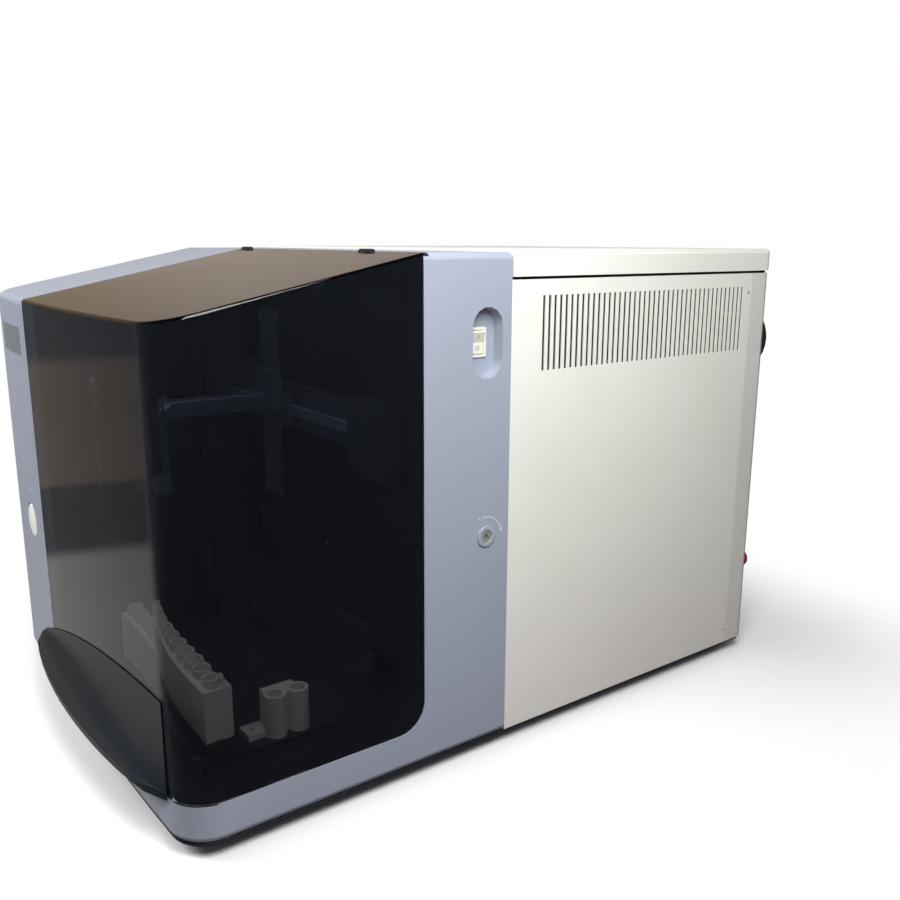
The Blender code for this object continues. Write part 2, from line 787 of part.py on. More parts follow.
def front_frame():
    """The moulded front: column, strips, post and band in one piece, hollow from behind and below."""
    frame = outline_solid("front_frame", [body_outline(0, FRAME_DEPTH)], (BODY_BOTTOM, BODY_TOP))
    slope_cut(frame, 0)
    at_rear = FRAME_DEPTH - WELD
    round_edges(frame, FRAME_ROUND, lambda edge: not all_points(edge, lambda co: co.y > at_rear))
    bay = outline_solid("bay", [bay_profile(0)], (COVER_LEFT, RIGHT + CUT), "X")
    wall = outline_solid("bay_wall", [bay_profile(FRAME_WALL)], (COVER_LEFT - FRAME_WALL, RIGHT + CUT), "X")
    inner = (BODY_BOTTOM + FRAME_WALL, BODY_TOP - FRAME_WALL)
    hollow = outline_solid("hollow", [body_outline(FRAME_WALL, FRAME_DEPTH + CUT)], inner)
    slope_cut(hollow, FRAME_WALL)
    cut(hollow, wall, pocket_cutter(FRAME_WALL))
    across, along = (LEFT + FLOOR_RIM, RIGHT - FLOOR_RIM), (FLOOR_RIM, FRAME_DEPTH + CUT)
    opening = block("opening", across, along, (BODY_BOTTOM - CUT, inner[0] + GAP))
    cut(frame, bay, hollow, pocket_cutter(0), opening, bay_window())
    cut(frame, *switch_and_lock_holes())
    cut(frame, *column_features())
    return cut(frame, *hinge_seats(0))


def bay_window():
    """Opening in the bay's back wall, behind which the back plate closes the bay."""
    x_range = (COVER_LEFT + WINDOW_RIM, RIGHT - WINDOW_RIM)
    y_range = (COVER_LENGTH - CUT, COVER_LENGTH + FRAME_WALL + CUT)
    return block("window", x_range, y_range, (BAND_TOP + WINDOW_SILL, BODY_TOP - WINDOW_HEAD))


def switch_and_lock_holes():
    middle = POCKET_Z
    deep = (RIGHT - POCKET_DEPTH - FRAME_WALL - CUT, RIGHT)
    width = about(SWITCH_Y, SWITCH_BODY_WIDTH + 2 * GAP)
    switch = block("switch_hole", deep, width, about(middle, SWITCH_BODY_HEIGHT + 2 * GAP))
    height = LOCK_Z
    ends = ((RIGHT - FRAME_WALL - CUT, POCKET_Y, height), (RIGHT + CUT, POCKET_Y, height))
    lock = rod("lock_hole", ends[0], ends[1], LOCK_BARREL_RADIUS + GAP, ROUND_SIDES)
    return switch, lock


def column_features():
    """Dish and hole of the touch plate, the lamp hole and the recess of the name plate."""
    height = BODY_BOTTOM + BUTTON_Z
    face = front_y(BUTTON_X)
    start = Vector((BUTTON_X, face, height))
    inward = Vector((-front_slope(BUTTON_X), 1, 0)).normalized()
    dish = rod("dish", start - CUT * inward, start + DISH_DEPTH * inward, DISH_RADIUS, ROUND_SIDES)
    through = (start - Vector((0, CUT, 0)), start + Vector((0, FRAME_WALL + CUT, 0)))
    hole = rod("button_hole", through[0], through[1], BUTTON_RADIUS + 2 * GAP, ROUND_SIDES)
    lamp_z = BODY_BOTTOM + LAMP_Z
    face = front_y(LAMP_X)
    through = ((LAMP_X, face - CUT, lamp_z), (LAMP_X, face + FRAME_WALL + CUT, lamp_z))
    lamp = rod("lamp_hole", through[0], through[1], LAMP_RADIUS + GAP)
    return dish, hole, lamp, label_recess()


def label_recess():
    """The shallow, bare place for a name plate, which follows the bow."""
    left, right = about(LABEL_X, LABEL_WIDTH)
    outline = [(right, -CUT), (left, -CUT), (left, front_y(left) + LABEL_DEPTH)]
    outline += bow_points(left, right, LABEL_DEPTH) + [(right, front_y(right) + LABEL_DEPTH)]
    return outline_solid("label", [outline], about(LABEL_Z, LABEL_HEIGHT))


def hinge_seats(shrink):
    """Blocks that fill, or cut, the seat of each hinge in the top strip."""
    found = []
    half = LEAF_KNUCKLE / 2 + BLOCK_KNUCKLE + 2 * GAP - shrink
    back = COVER_LENGTH + HINGE_NOTCH_DEPTH - shrink
    low = BODY_TOP - HINGE_NOTCH_DROP + shrink
    for place in HINGE_PLACES:
        x_range = (place - half, place + half)
        front = COVER_LENGTH + KNUCKLE_RADIUS + KNUCKLE_CLEARANCE if shrink else COVER_LENGTH - CUT
        top = BODY_TOP - GAP if shrink else BODY_TOP + CUT
        found.append(block("hinge_seat", x_range, (front, back), (low, top)))
    return found


def base_plate():
    low = FOOT_HEIGHT + GAP
    rear = BODY_LENGTH - BASE_INSET
    reach = RIGHT - BASE_INSET - BASE_CORNER
    outline = body_outline(BASE_INSET, rear - BASE_CORNER) + [(reach, rear), (-reach, rear)]
    return outline_solid("base_plate", [outline], (low, low + BASE_THICKNESS))


def foot(name, x, y):
    profile = [(0, FOOT_HEIGHT), (FOOT_TOP_RADIUS, FOOT_HEIGHT), (FOOT_RADIUS, FOOT_LIP)]
    profile += [(FOOT_RADIUS - FOOT_LIP / 2, 0), (0, 0)]
    return turned(name, profile, (x, y, 0), "Z")


def cover_shell():
    """The tinted cover: slope, bowed front and right side in one moulding, with the pull lip."""
    left = COVER_LEFT + SEAM
    rear = COVER_LENGTH - SEAM
    bottom = BAND_TOP + SEAM
    shell = outline_solid("cover_shell", [cover_outline(0, left, rear)], (bottom, BODY_TOP + CUT))
    slope_cut(shell, 0)
    bevelled = BODY_TOP - SLOPE_DROP - FRAME_ROUND

    def on_rim(edge):
        at_left = all_points(edge, lambda co: co.x < left + WELD)
        at_rear = all_points(edge, lambda co: co.y > rear - WELD)
        return all_points(edge, lambda co: co.z > bevelled) and not at_left and not at_rear

    round_edges(shell, COVER_ROUND, on_rim)
    inside = cover_outline(COVER_WALL, left - CUT, rear + CUT)
    hollow = outline_solid("cover_hollow", [inside], (bottom - CUT, BODY_TOP + CUT))
    slope_cut(hollow, COVER_WALL)
    cut(shell, hollow, cover_corner(rear, bottom))
    join(shell, pull_lip())
    cut(shell, lip_hollow())
    return cut(shell, *hinge_notches("cover_relief"), *leaf_notches())


def cover_corner(rear, bottom):
    """What the rounded lower rear corner of the side leaves out."""
    radius = COVER_CORNER_RADIUS
    curve = arc(rear - radius, bottom + radius, radius, 0, -90)
    far = [(rear - radius, bottom - CUT), (rear + CUT, bottom - CUT), (rear + CUT, bottom + radius)]
    return outline_solid("cover_corner", [curve + far], (RIGHT - CUT, RIGHT + CUT), "X")


def lip_place(share):
    """Place along the lip, and its depth and rise there."""
    first = COVER_LEFT - LIP_OVERHANG
    last = RIGHT - LIP_RIGHT_INSET
    place = first + (last - first) * share
    depth = LIP_EDGE + (LIP_DEPTH - LIP_EDGE) * math.sqrt(math.sin(math.pi * share))
    rise = LIP_EDGE + (LIP_RISE - LIP_EDGE) * math.sin(math.pi / 2 * share) ** LIP_FULLNESS_SHARE
    return place, depth, rise


def lip_curve(base, rim, depth, rise, start):
    """Side view of the scoop from its upright top, or from a start angle in degrees, round to its rim."""
    angles = [math.radians(start + (90 - start) * i / LIP_CURVE_STEPS) for i in range(LIP_CURVE_STEPS + 1)]
    return [(base - depth * (1 - math.cos(a)), rim + rise * (1 - math.sin(a))) for a in angles]


def pull_lip():
    """The scoop that swells out of the cover's front: one loft of unlike side views."""
    sections = []
    rim = BODY_BOTTOM + LIP_RIM_Z
    for i in range(LIP_STEPS + 1):
        place, depth, rise = lip_place(i / LIP_STEPS)
        back = front_y(place) - SEAM
        base = back - LIP_EDGE / 4
        low = rim - LIP_SKIRT
        points = [(back, rim + rise)] + lip_curve(base, rim, depth, rise, 0)
        points += [(base - depth + LIP_EDGE / 2, low), (back, low)]
        sections.append([(place, y, z) for y, z in points])
    return join(loft("pull_lip", sections), lip_root())


def lip_root():
    """Ties the lip to the cover's wall, over the width that the two share."""
    sections = []
    share = (LIP_OVERHANG + 2 * SEAM) / (COVER_WIDTH + LIP_OVERHANG - LIP_RIGHT_INSET)
    for i in range(LIP_STEPS + 1):
        place, depth, rise = lip_place(share + (1 - share) * i / LIP_STEPS)
        face = front_y(place)
        front, back = face - SEAM - LIP_EDGE / 8, face + COVER_WALL / 2
        low, high = BAND_TOP + 2 * SEAM, BODY_BOTTOM + LIP_RIM_Z + rise - 2 * LIP_EDGE
        sections.append([(place, front, low), (place, front, high), (place, back, high), (place, back, low)])
    return loft("lip_root", sections)


def lip_hollow():
    """Room for the fingers under the lip."""
    sections = []
    rim = BODY_BOTTOM + LIP_RIM_Z
    first = (LIP_HOLLOW_MARGIN + LIP_OVERHANG / 2) / COVER_WIDTH
    steps = LIP_STEPS // 2
    for i in range(steps + 1):
        place, depth, rise = lip_place(first + (1 - first - first / 2) * i / steps)
        base = front_y(place) - SEAM - LIP_BACKING
        curve = lip_curve(base, rim - COVER_WALL, depth - COVER_WALL, rise - COVER_WALL, LIP_HOLLOW_START)
        points = [(base, curve[0][1])] + curve
        low = rim - LIP_SKIRT - CUT
        points += [(curve[-1][0], low), (base, low)]
        sections.append([(place, y, z) for y, z in points])
    return loft("lip_hollow", sections)


def leaf_notches():
    """Openings in the rear edge of the slope for the necks of the hinge leaves."""
    found = []
    for place in HINGE_PLACES:
        x_range = about(place, LEAF_KNUCKLE + 2 * GAP)
        y_range = (COVER_LENGTH - LEAF_KNUCKLE, COVER_LENGTH + CUT)
        found.append(block("leaf_notch", x_range, y_range, (BODY_TOP - CUT, BODY_TOP + CUT)))
    return found


def hinge_leaf(name, place):
    """The leaf under the slope, with the middle knuckle."""
    centre = (HINGE_Y, BODY_TOP)
    knuckle = LEAF_KNUCKLE - 2 * GAP
    thick = COVER_WALL * math.hypot(1, SLOPE_SHARE) + GAP
    under = [(y, slope_z(y) - thick) for y in (COVER_LENGTH - LEAF_LENGTH, COVER_LENGTH - SEAM)]
    low = [(y, z - LEAF_THICKNESS) for y, z in reversed(under)]
    plate = outline_solid(name, [under + low], about(place, LEAF_WIDTH), "X")
    neck_front = COVER_LENGTH - LEAF_KNUCKLE + GAP
    neck = [(neck_front, slope_z(neck_front)), centre, (centre[0], low[0][1])]
    neck += [(neck_front, slope_z(neck_front) - thick - LEAF_THICKNESS / 2)]
    join(plate, outline_solid("neck", [neck], about(place, knuckle), "X"))
    ends = [(place - knuckle / 2, *centre), (place + knuckle / 2, *centre)]
    join(plate, rod("knuckle", ends[0], ends[1], KNUCKLE_RADIUS))
    bore = [(place - knuckle, *centre), (place + knuckle, *centre)]
    return cut(plate, rod("bore", bore[0], bore[1], PIN_RADIUS + PIN_CLEARANCE))


def hinge_block(name, index):
    """The fixed half: a seat in the top strip, two knuckles and the pin."""
    seats = hinge_seats(GAP)
    base = seats.pop(index)
    for spare in seats:
        bpy.data.objects.remove(spare)
    base.name = name
    place = HINGE_PLACES[index]
    for side in (-1, 1):
        inner = place + side * (LEAF_KNUCKLE / 2)
        outer = inner + side * BLOCK_KNUCKLE
        span = (min(inner, outer), max(inner, outer))
        arm_low = BODY_TOP - KNUCKLE_RADIUS + GAP
        arm = block("arm", span, (HINGE_Y, HINGE_Y + HINGE_NOTCH_DEPTH / 2), (arm_low, BODY_TOP - GAP))
        knuckle = rod("knuckle", (inner, HINGE_Y, BODY_TOP), (outer, HINGE_Y, BODY_TOP), KNUCKLE_RADIUS)
        join(base, arm, knuckle)
    reach = LEAF_KNUCKLE / 2 + BLOCK_KNUCKLE / 2
    pin = rod("pin", (place - reach, HINGE_Y, BODY_TOP), (place + reach, HINGE_Y, BODY_TOP), PIN_RADIUS)
    return join(base, pin)


def blocks(name, boxes):
    """Several boxes that stand apart from one another, as one object."""
    obj = block(name, *boxes[0])
    for box in boxes[1:]:
        other = block(name, *box)
        edit(obj, lambda bm: bm.from_mesh(other.data))
        bpy.data.objects.remove(other)
    return obj


def vents(x_range):
    z_range = (VENT_TOP - VENT_HEIGHT, VENT_TOP)
    places = [VENT_FIRST + i * VENT_PITCH for i in range(VENT_COUNT)]
    return blocks("vents", [(x_range, (y, y + VENT_WIDTH), z_range) for y in places])


def side_panel(name, side):
    """A sheet side with a field of vents, and flanges folded in along its top, bottom and front."""
    y_range = (FRAME_DEPTH + PANEL_SEAM, STRIP_FRONT - PANEL_SEAM)
    z_range = (BODY_BOTTOM, PANEL_TOP)
    folded = CABINET_SIDE - PANEL_FLANGE
    panel = block(name, sorted((side * folded, side * CABINET_SIDE)), y_range, z_range)
    inside = sorted((side * (folded - CUT), side * PANEL_INNER))
    front = BULKHEAD_BACK + GAP
    edge = block("edge", inside, (y_range[0] - CUT, front), (z_range[0] - CUT, z_range[1] + CUT))
    tray = block("tray", inside, (front + SHEET, y_range[1] + CUT), (z_range[0] + SHEET, z_range[1] - SHEET))
    through = sorted((side * (PANEL_INNER - SHEET), side * (CABINET_SIDE + CUT)))
    return cut(panel, edge, tray, vents(through))


def rear_panel():
    """A sheet back whose sides wrap round as the two rear corner strips."""
    corner = (CABINET_SIDE - REAR_CORNER_RADIUS, BODY_LENGTH - REAR_CORNER_RADIUS)
    outer = [(CABINET_SIDE, STRIP_FRONT)] + arc(*corner, REAR_CORNER_RADIUS, 0, 90, ROUND_STEPS)
    tight = REAR_CORNER_RADIUS - SHEET
    inner = [(PANEL_INNER, STRIP_FRONT)] + arc(*corner, tight, 0, 90, ROUND_STEPS)
    mirrored_outer = [(-x, y) for x, y in reversed(outer)]
    mirrored_inner = [(-x, y) for x, y in inner]
    outline = outer + mirrored_outer + mirrored_inner + list(reversed(inner))
    panel = outline_solid("rear_panel", [outline], (BODY_BOTTOM, PANEL_TOP))
    return cut(panel, *rear_holes())


def rear_holes():
    start, end = REAR_INNER - CUT, BODY_LENGTH + CUT
    holes = [rod("fan_hole", (FAN_X, start, FAN_Z), (FAN_X, end, FAN_Z), FAN_BORE, ROUND_SIDES)]
    width, height = INLET_BODY_WIDTH + 2 * GAP, INLET_BODY_HEIGHT + 2 * GAP
    inlet_z = about(BODY_BOTTOM + INLET_Z, height)
    holes.append(block("inlet_hole", about(INLET_X, width), (start, end), inlet_z))
    width = DATA_WIDTH - 2 * DATA_BOX_MARGIN + 2 * GAP
    height = DATA_HEIGHT - 2 * DATA_BOX_MARGIN + 2 * GAP
    data_z = about(BODY_BOTTOM + DATA_Z, height)
    holes.append(block("data_hole", about(DATA_X, width), (start, end), data_z))
    for x in port_places():
        holes.append(rod("port_hole", (x, start, port_z()), (x, end, port_z()), PORT_BODY + GAP))
    return holes


def lid():
    """The folded top cover of the cabinet, with rounded rear corners."""
    half = RIGHT + LID_OVERHANG
    front = FRAME_DEPTH + PANEL_SEAM
    rear = BODY_LENGTH + LID_REAR_OVERHANG

    def outline(inset):
        radius = LID_CORNER_RADIUS - inset
        points = [(-half + inset, front + inset), (half - inset, front + inset)]
        points += arc(half - LID_CORNER_RADIUS, rear - LID_CORNER_RADIUS, radius, 0, 90, 5)
        return points + arc(-half + LID_CORNER_RADIUS, rear - LID_CORNER_RADIUS, radius, 90, 180, 5)

    low, high = LID_SKIRT_BOTTOM, BODY_TOP + LID_RISE
    cover = outline_solid("lid", [outline(0)], (low, high))

    def on_top(edge):
        at_front = all_points(edge, lambda co: co.y < front + WELD)
        return all_points(edge, lambda co: co.z > high - WELD) and not at_front

    round_edges(cover, LID_ROUND, on_top)
    return cut(cover, outline_solid("lid_hollow", [outline(SHEET)], (low - CUT, high - SHEET)))


def lid_gasket():
    """The dark strip in the joint under the lid, open towards the front."""
    half = CABINET_SIDE - GASKET_INSET
    front = BULKHEAD_BACK + GAP
    rear = BODY_LENGTH - GASKET_INSET
    inner = half - GASKET_WIDTH
    outline = [(half, front), (half, rear), (-half, rear), (-half, front), (-inner, front)]
    outline += [(-inner, rear - GASKET_WIDTH), (inner, rear - GASKET_WIDTH), (inner, front)]
    low = PANEL_TOP + GAP
    return outline_solid("lid_gasket", [outline], (low, LID_SKIRT_BOTTOM - GAP))


def bulkhead():
    """The upright sheet between the loader and the cabinet."""
    half = PANEL_INNER - GAP
    z_range = (BODY_BOTTOM, LID_SKIRT_BOTTOM - GAP)
    return block("bulkhead", (-half, half), (BULKHEAD_FRONT, BULKHEAD_BACK), z_range)


def touch_button():
    """A cream touch plate with a guide flange and a stem towards its switch."""
    face = front_y(BUTTON_X)
    flange = front_y(BUTTON_X - BUTTON_FLANGE) + FRAME_WALL + GAP
    stem_end = BRACKET_Y - BUTTON_TRAVEL - GAP
    edge = BUTTON_DOME * 2
    profile = [(0, stem_end), (BUTTON_STEM, stem_end), (BUTTON_STEM, flange + SHEET)]
    profile += [(BUTTON_FLANGE, flange + SHEET), (BUTTON_FLANGE, flange), (BUTTON_RADIUS, flange)]
    profile.append((BUTTON_RADIUS, face + BUTTON_DOME))
    profile += [(BUTTON_RADIUS - edge / 2, face), (BUTTON_RADIUS / 2, face - BUTTON_DOME), (0, face - edge)]
    return turned("touch_button", profile, (BUTTON_X, 0, BODY_BOTTOM + BUTTON_Z), "Y")


def button_bracket():
    """The folded sheet across the column that carries the touch plate's switch."""
    x_range = (LEFT + FRAME_WALL + GAP, COVER_LEFT - FRAME_WALL - GAP)
    z_range = about(BODY_BOTTOM + BUTTON_Z, BRACKET_HEIGHT)
    sheet = block("button_bracket", x_range, (BRACKET_Y, BRACKET_Y + SHEET), z_range)
    parts = []
    for end in (0, 1):
        inner = x_range[end] + (1 - 2 * end) * SHEET
        span = (min(x_range[end], inner), max(x_range[end], inner))
        parts.append(block("fold", span, (BRACKET_Y + SHEET / 2, BRACKET_Y + BRACKET_FLANGE), z_range))
    return join(sheet, *parts)


def status_lamp():
    face = front_y(LAMP_X)
    tip = face - GAP
    profile = [(0, face + LAMP_LENGTH), (LAMP_RADIUS + 2 * GAP, face + LAMP_LENGTH)]
    profile += [(LAMP_RADIUS + 2 * GAP, face + FRAME_WALL + GAP), (LAMP_RADIUS, face + FRAME_WALL + GAP)]
    profile += [(LAMP_RADIUS, face), (LAMP_RADIUS / 2, tip), (0, tip - GAP)]
    return turned("status_lamp", profile, (LAMP_X, 0, BODY_BOTTOM + LAMP_Z), "Y", SMALL_SIDES)


def switch_housing():
    """Bezel and body of the power switch, open towards the recess."""
    middle = POCKET_Z
    floor = RIGHT - POCKET_DEPTH + GAP
    face = floor + SWITCH_FLANGE
    flange = outline_solid(
        "switch_housing",
        [chamfered(about(SWITCH_Y, SWITCH_WIDTH), about(middle, SWITCH_HEIGHT), SWITCH_FLANGE)],
        (floor, face),
        "X",
    )
    deep = (floor - SWITCH_BODY_DEPTH, face - GAP)
    case = block("body", deep, about(SWITCH_Y, SWITCH_BODY_WIDTH), about(middle, SWITCH_BODY_HEIGHT))
    cavity_x = (face - SWITCH_CAVITY_DEPTH, face + CUT)
    cavity_z = about(middle, SWITCH_CAVITY_HEIGHT)
    cavity = block("cavity", cavity_x, about(SWITCH_Y, SWITCH_CAVITY_WIDTH), cavity_z)
    return cut(join(flange, case), cavity)


def rocker_pivot():
    face = RIGHT - POCKET_DEPTH + GAP + SWITCH_FLANGE
    return Vector((face - ROCKER_MIDDLE, SWITCH_Y, POCKET_Z))


def power_rocker():
    """The rocker, at rest with its lower half pressed."""
    reach = math.sqrt(ROCKER_RADIUS**2 - ROCKER_TOP**2)
    low_reach = math.sqrt(ROCKER_RADIUS**2 - ROCKER_BOTTOM**2)
    outline = [(ROCKER_TOP, -reach), (ROCKER_MIDDLE, 0), (ROCKER_TOP, reach), (0, ROCKER_RADIUS)]
    outline += [(-ROCKER_BOTTOM, low_reach), (-ROCKER_BOTTOM, -low_reach), (0, -ROCKER_RADIUS)]
    rocker = outline_solid("power_rocker", [outline], about(0, ROCKER_WIDTH), "Y")
    tilt = Matrix.Translation(rocker_pivot()) @ Matrix.Rotation(ROCKER_TILT, 4, "Y")
    return edit(rocker, lambda bm: bmesh.ops.transform(bm, matrix=tilt, verts=bm.verts))


def lock_barrel():
    """Flanged tube of the quarter-turn lock."""
    bore = LOCK_CORE_RADIUS + GAP
    inner = RIGHT - LOCK_BARREL_LENGTH
    face = RIGHT + GAP
    rim = face + LOCK_FLANGE
    profile = [(bore, rim), (LOCK_FLANGE_RADIUS - LOCK_FLANGE / 2, rim)]
    profile += [(LOCK_FLANGE_RADIUS, rim - LOCK_FLANGE / 2), (LOCK_FLANGE_RADIUS, face)]
    profile += [(LOCK_BARREL_RADIUS, face), (LOCK_BARREL_RADIUS, inner), (bore, inner), (bore, rim)]
    return turned("lock_barrel", profile, (0, POCKET_Y, LOCK_Z), "X")


def lock_core():
    """Core with a three-sided key recess, and the cam on its inner end."""
    height = LOCK_Z
    face = RIGHT + GAP + LOCK_FLANGE - LOCK_CORE_RECESS
    inner = RIGHT - LOCK_BARREL_LENGTH - GAP - LOCK_CAM_THICKNESS
    ends = ((inner, POCKET_Y, height), (face, POCKET_Y, height))
    core = rod("lock_core", *ends, LOCK_CORE_RADIUS, ROUND_SIDES)
    cam_outline = stadium(0, LOCK_CAM_LENGTH / 2, LOCK_CAM_WIDTH, LOCK_CAM_LENGTH + LOCK_CAM_WIDTH)
    cam_outline = [(POCKET_Y + along, height + across) for across, along in cam_outline]
    join(core, outline_solid("cam", [cam_outline], (inner, inner + LOCK_CAM_THICKNESS), "X"))
    ends = ((face - LOCK_KEY_DEPTH, POCKET_Y, height), (face + CUT, POCKET_Y, height))
    return cut(core, rod("key", *ends, LOCK_KEY_RADIUS, LOCK_KEY_SIDES))


def bay_back_plate():
    x_range = (COVER_LEFT + GAP, RIGHT - FRAME_WALL - 2 * GAP)
    z_range = (BAND_TOP + WINDOW_SILL / 2, BODY_TOP - WINDOW_HEAD / 2)
    return block("bay_back_plate", x_range, (BAY_BACK, BAY_BACK + SHEET), z_range)


def bay_side_liner():
    """The dark sheet on the left wall of the bay, which follows the slope."""
    front = FRAME_ROUND * 2 + front_y(COVER_LEFT)
    back = COVER_LENGTH - GAP
    low = BAND_TOP + GAP
    radius = COVER_CORNER_RADIUS
    outline = [(front, low)] + arc(back - radius, low + radius, radius, 270, 360, 4)
    drop = COVER_WALL * 2
    outline += [(back, slope_z(back) - drop - HINGE_NOTCH_DROP), (front, slope_z(front) - drop)]
    left = COVER_LEFT + GAP
    return outline_solid("bay_side_liner", [outline], (left, left + PAN_THICKNESS), "X")


def bay_floor_pan():
    left = COVER_LEFT + 2 * GAP + PAN_THICKNESS
    right = RIGHT - COVER_WALL - SEAM * 2
    low = BAND_TOP + GAP
    y_range = (FRONT_BOW + COVER_WALL, COVER_LENGTH - PAN_REAR_INSET)
    outline = round_rectangle((left, right), y_range, RIGHT_CORNER_RADIUS - COVER_WALL)
    return outline_solid("bay_floor_pan", [outline], (low, PAN_TOP))


def rack_deck():
    """The plate the racks stand on, with two low ribs for the rack to run between."""
    left = COVER_LEFT + 2 * GAP + PAN_THICKNESS + DECK_LEFT_INSET
    right = RIGHT - DECK_RIGHT_INSET
    low = DECK_Z - DECK_THICKNESS
    outline = [(DECK_FRONT, low), (DECK_BACK, low), (DECK_BACK, DECK_Z)]
    for edge in (RACK_Y + RACK_DEPTH / 2, RACK_Y - RACK_DEPTH / 2):
        side = 1 if edge > RACK_Y else -1
        inner = edge + side * RACK_TRAVEL_CLEARANCE
        outer = inner + side * DECK_RIB_WIDTH
        high, near = max(inner, outer), min(inner, outer)
        outline += [(high, DECK_Z), (high, DECK_Z + DECK_RIB), (near, DECK_Z + DECK_RIB), (near, DECK_Z)]
    outline += [(DECK_FRONT, DECK_Z)]
    deck = outline_solid("rack_deck", [outline], (left, right), "X")
    room = (tower_x() - CUT, tower_x() + TOWER_WIDTH + SHEET)
    depth = (tower_back() - TOWER_DEPTH - SHEET, tower_back() + CUT)
    return cut(deck, block("tower_room", room, depth, (low - CUT, DECK_Z + CUT)))


def deck_support(name, left, front):
    """An upright strip on the floor pan that carries one edge of the deck."""
    x_range = (left, RIGHT - DECK_RIGHT_INSET - SHEET)
    y_range = (front, front + DECK_SUPPORT)
    return block(name, x_range, y_range, (PAN_TOP + GAP, DECK_Z - DECK_THICKNESS - GAP))


def tray_wall():
    """The low wall behind the deck, with a turned-over top edge and two slots."""
    left = COVER_LEFT + TOWER_WIDTH + 2 * SHEET + DECK_LEFT_INSET
    right = RIGHT - TRAY_WALL_RIGHT_INSET
    low = PAN_TOP + GAP
    high = BODY_BOTTOM + TRAY_WALL_TOP
    front = TRAY_WALL_Y - TRAY_WALL_FLANGE
    outline = [(TRAY_WALL_Y, low), (TRAY_WALL_Y + SHEET, low), (TRAY_WALL_Y + SHEET, high), (front, high)]
    outline += [(front, high - SHEET), (TRAY_WALL_Y, high - SHEET)]
    wall = outline_solid("tray_wall", [outline], (left, right), "X")
    slots = []
    for place in (right - TRAY_SLOT_WIDTH * 2, right - TRAY_SLOT_WIDTH * 4):
        y_range = (TRAY_WALL_Y - CUT / 2, TRAY_WALL_Y + CUT)
        z_range = about(high - TRAY_SLOT_WIDTH, TRAY_SLOT_HEIGHT)
        slots.append(block("slot", about(place, TRAY_SLOT_WIDTH), y_range, z_range))
    return cut(wall, *slots)


def wash_cup():
    """A flared cup on a stem, cut off at a slant."""
    low = PAN_TOP + GAP
    top = BODY_BOTTOM + CUP_TOP
    neck = BODY_BOTTOM + CUP_NECK
    inner = CUP_WALL
    profile = [(0, neck), (CUP_STEM_RADIUS - inner, neck + inner), (CUP_RADIUS - inner, top)]
    profile += [(CUP_RADIUS, top), (CUP_RADIUS, top - inner), (CUP_STEM_RADIUS, neck - inner)]
    profile += [(CUP_STEM_RADIUS, low), (0, low)]
    cup = turned("wash_cup", profile, (CUP_X, CUP_Y, 0), "Z")
    front = CUP_Y - CUP_RADIUS - CUT
    wedge = [(front, top - CUP_RADIUS), (CUP_Y + CUP_RADIUS - inner, top + GAP), (front, top + CUT)]
    slant = outline_solid("slant", [wedge], about(CUP_X, 3 * CUP_RADIUS), "X")
    return cut(cup, slant)


def rack_places():
    return [RACK_LEFT + RACK_PITCH / 2 + RACK_PITCH * i for i in range(RACK_PLACES)]


def tube_rack():
    """Ten wells in a row, each with a slit collar that grips the tube."""
    low = DECK_Z + GAP
    shoulder = BODY_BOTTOM + RACK_SHOULDER
    top = BODY_BOTTOM + RACK_TOP
    x_range = (RACK_LEFT, RACK_LEFT + RACK_PLACES * RACK_PITCH)
    y_range = about(RACK_Y, RACK_DEPTH)
    rack = block("tube_rack", x_range, y_range, (low, shoulder))
    round_edges(rack, RACK_TAG_DEPTH, lambda edge: runs_along(edge, 2), 2)
    collars, bores, slits = [], [], []
    for x in rack_places():
        seat = shoulder - RACK_TAG_DEPTH
        collars.append(rod("collar", (x, RACK_Y, seat), (x, RACK_Y, top), RACK_COLLAR))
        bores.append(rod("bore", (x, RACK_Y, low + RACK_FLOOR), (x, RACK_Y, top + CUT), RACK_BORE))
        slit_y = (RACK_Y - RACK_COLLAR - CUT, RACK_Y)
        slits.append(block("slit", about(x, RACK_SLIT), slit_y, (shoulder + GAP, top + CUT)))
    join(rack, *collars)
    cut(rack, *bores, *slits)
    tag_z = about((low + shoulder) / 2, RACK_TAG_HEIGHT)
    tag_x = (x_range[0] + RACK_PITCH / 2, x_range[1] - RACK_PITCH / 2)
    tag = block("tag", tag_x, (y_range[0] - CUT, y_range[0] + RACK_TAG_DEPTH), tag_z)
    return cut(rack, tag)


